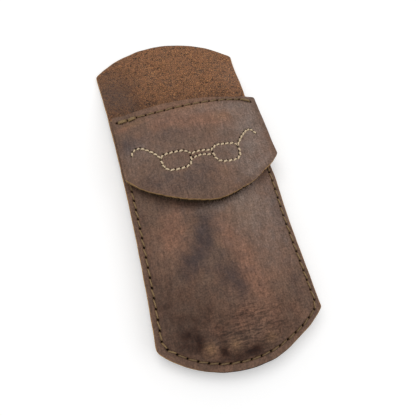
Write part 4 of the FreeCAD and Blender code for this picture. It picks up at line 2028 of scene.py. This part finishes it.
@dataclass(frozen=True)
class Studio:
    """Floor, light and camera, in metres, degrees and, for the lens, millimetres."""

    camera_place: tuple[float, float, float] = (-0.032486, -0.062429, 0.170531)
    camera_turn: tuple[float, float, float] = (19.3212, -6.3854, -15.2239)
    camera_lens: float = 36.2578
    camera_sensor: float = 36.0
    camera_near: float = 0.01
    floor_size: float = 3.0
    floor_drop: float = 0.0001
    floor_colour: str = "#fbfbfb"
    floor_lift: float = 0.16
    sky_strength: float = 0.5
    lamps: tuple[Lamp, ...] = (
        Lamp("key_light", (-0.12, 0.22, 0.72), 0.5, 2.4),
        Lamp("fill_light", (0.45, -0.3, 0.5), 0.5, 0.75),
    )

    def build(self) -> None:
        """Set the studio up."""
        self.build_floor()
        self.build_light()
        self.build_camera()

    def build_floor(self) -> None:
        """A plain pale floor, white to the camera."""
        clear_selection()
        bpy.ops.mesh.primitive_plane_add(size=self.floor_size, location=(0, 0, -self.floor_drop))
        floor = bpy.context.object
        floor.name = "floor"
        material, tree, surface = new_material("white_paper")
        paper = add_node(tree, "ShaderNodeBsdfDiffuse", {"Color": linear(self.floor_colour)})
        seen = add_node(tree, "ShaderNodeLightPath").outputs["Is Camera Ray"]
        lift = add_node(tree, "ShaderNodeMath", {0: seen, 1: self.floor_lift}, operation="MULTIPLY")
        glow = add_node(tree, "ShaderNodeEmission", {"Strength": lift.outputs[0]})
        both = add_node(tree, "ShaderNodeAddShader", {0: paper.outputs[0], 1: glow.outputs[0]})
        tree.links.new(both.outputs[0], surface)
        floor.data.materials.append(material)

    def build_light(self) -> None:
        """A large soft light from above the top of the case, a weaker one from the right, and a pale sky."""
        for lamp in self.lamps:
            light = bpy.data.lights.new(lamp.name, "AREA")
            light.shape = "SQUARE"
            light.size = lamp.side
            light.energy = lamp.power
            placed = bpy.data.objects.new(lamp.name, light)
            placed.location = lamp.place
            placed.rotation_euler = (-Vector(lamp.place)).to_track_quat("-Z", "Y").to_euler()
            bpy.context.scene.collection.objects.link(placed)
        world = bpy.data.worlds.new("studio")
        world.use_nodes = True
        tree = world.node_tree
        tree.nodes.clear()
        seen = add_node(tree, "ShaderNodeLightPath").outputs["Is Camera Ray"]
        level = add_node(tree, "ShaderNodeMapRange", {"Value": seen, "To Min": self.sky_strength})
        sky = add_node(tree, "ShaderNodeBackground", {"Color": (1, 1, 1, 1), "Strength": level.outputs[0]})
        add_node(tree, "ShaderNodeOutputWorld", {"Surface": sky.outputs[0]})
        bpy.context.scene.world = world

    def build_camera(self) -> None:
        """The camera at the picture's viewing angle, as fitted to the case's outline."""
        data = bpy.data.cameras.new("camera")
        data.sensor_width = self.camera_sensor
        data.lens = self.camera_lens
        data.clip_start = self.camera_near
        camera = bpy.data.objects.new("camera", data)
        camera.location = self.camera_place
        camera.rotation_euler = [math.radians(angle) for angle in self.camera_turn]
        bpy.context.scene.collection.objects.link(camera)
        bpy.context.scene.camera = camera
        bpy.context.scene.view_settings.view_transform = "Standard"


def sewn_lines(form: PouchForm, rows: Rows) -> list[SewnLine]:
    """List the lines of stitches.

    Args:
        form: the pouch's sizes.
        rows: the rows of holes.

    Returns:
        The two seams and the four lines of the spectacles.
    """
    worn_below_corners = 2.0
    lines = [
        SewnLine("side_seam_stitches", ("side_seam_thread",), rows.side, StitchModel(thread=0.66, run=4.0),
                 Slot.SEAM_THREAD, Body.POUCH, aside=0.34, sunk=0.22, shorter=0.6, seed=11,
                 worn_below=form.low_corner_y - worn_below_corners),
        SewnLine("mouth_seam_stitches", ("mouth_seam_thread",), rows.mouth, StitchModel(thread=0.6, run=4.0),
                 Slot.SEAM_THREAD, Body.POUCH, aside=0.15, sunk=0.36, shorter=0.7, seed=12,
                 dull=0.5, bright_ends=(2, 1), doubled=2),
    ]
    motif_stitch = StitchModel(thread=0.8, run=2.0, rings=6)
    for seed, (name, row) in enumerate(rows.motif.items(), 13):
        lines.append(SewnLine(name + "_stitches", (name + "_thread",), row, motif_stitch, Slot.MOTIF_THREAD,
                              Body.FLAP, aside=0.28, sunk=0.2, shorter=0.3, seed=seed))
    return lines


def main() -> None:
    """Build the studio and the pouch, and report each piece."""
    logging.basicConfig(level=logging.INFO, format="%(message)s")
    Studio().build()
    form = PouchForm()
    rows = Rows(form, Spectacles())
    leather = PullUpLeather().material(), FleshSide().material(), CutEdge().material()
    thread = {
        Slot.SEAM_THREAD: WaxedThread("khaki_waxed_thread", "#9e825a", "#59442b").material(),
        Slot.MOTIF_THREAD: WaxedThread("cream_waxed_thread", "#f2dfc2", "#a98957").material(),
    }

    back, front, flap = (kind(form, rows, leather) for kind in (BackPanel, FrontPanel, Flap))
    for panel in (back, front, flap):
        panel.build()
        panel.dress()
        LOG.info("%s: %d faces", panel.name, len(panel.piece.data.polygons))
    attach(back.piece, Body.POUCH.value)
    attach(front.piece, Body.POUCH.value)
    flap.hinge()
    back.declare()
    front.declare([back.name])
    fibres = EdgeFibres(form, flap)
    fibres.build()
    fibres.dress(leather[2])
    LOG.info("%s: %d faces", fibres.name, len(fibres.piece.data.polygons))
    flap.declare([front.name], [fibres.piece])

    for line in sewn_lines(form, rows):
        line.build()
        line.dress(thread[line.slot])
        LOG.info("%s: %d faces", line.name, len(line.piece.data.polygons))


if __name__ == "__main__":
    main()
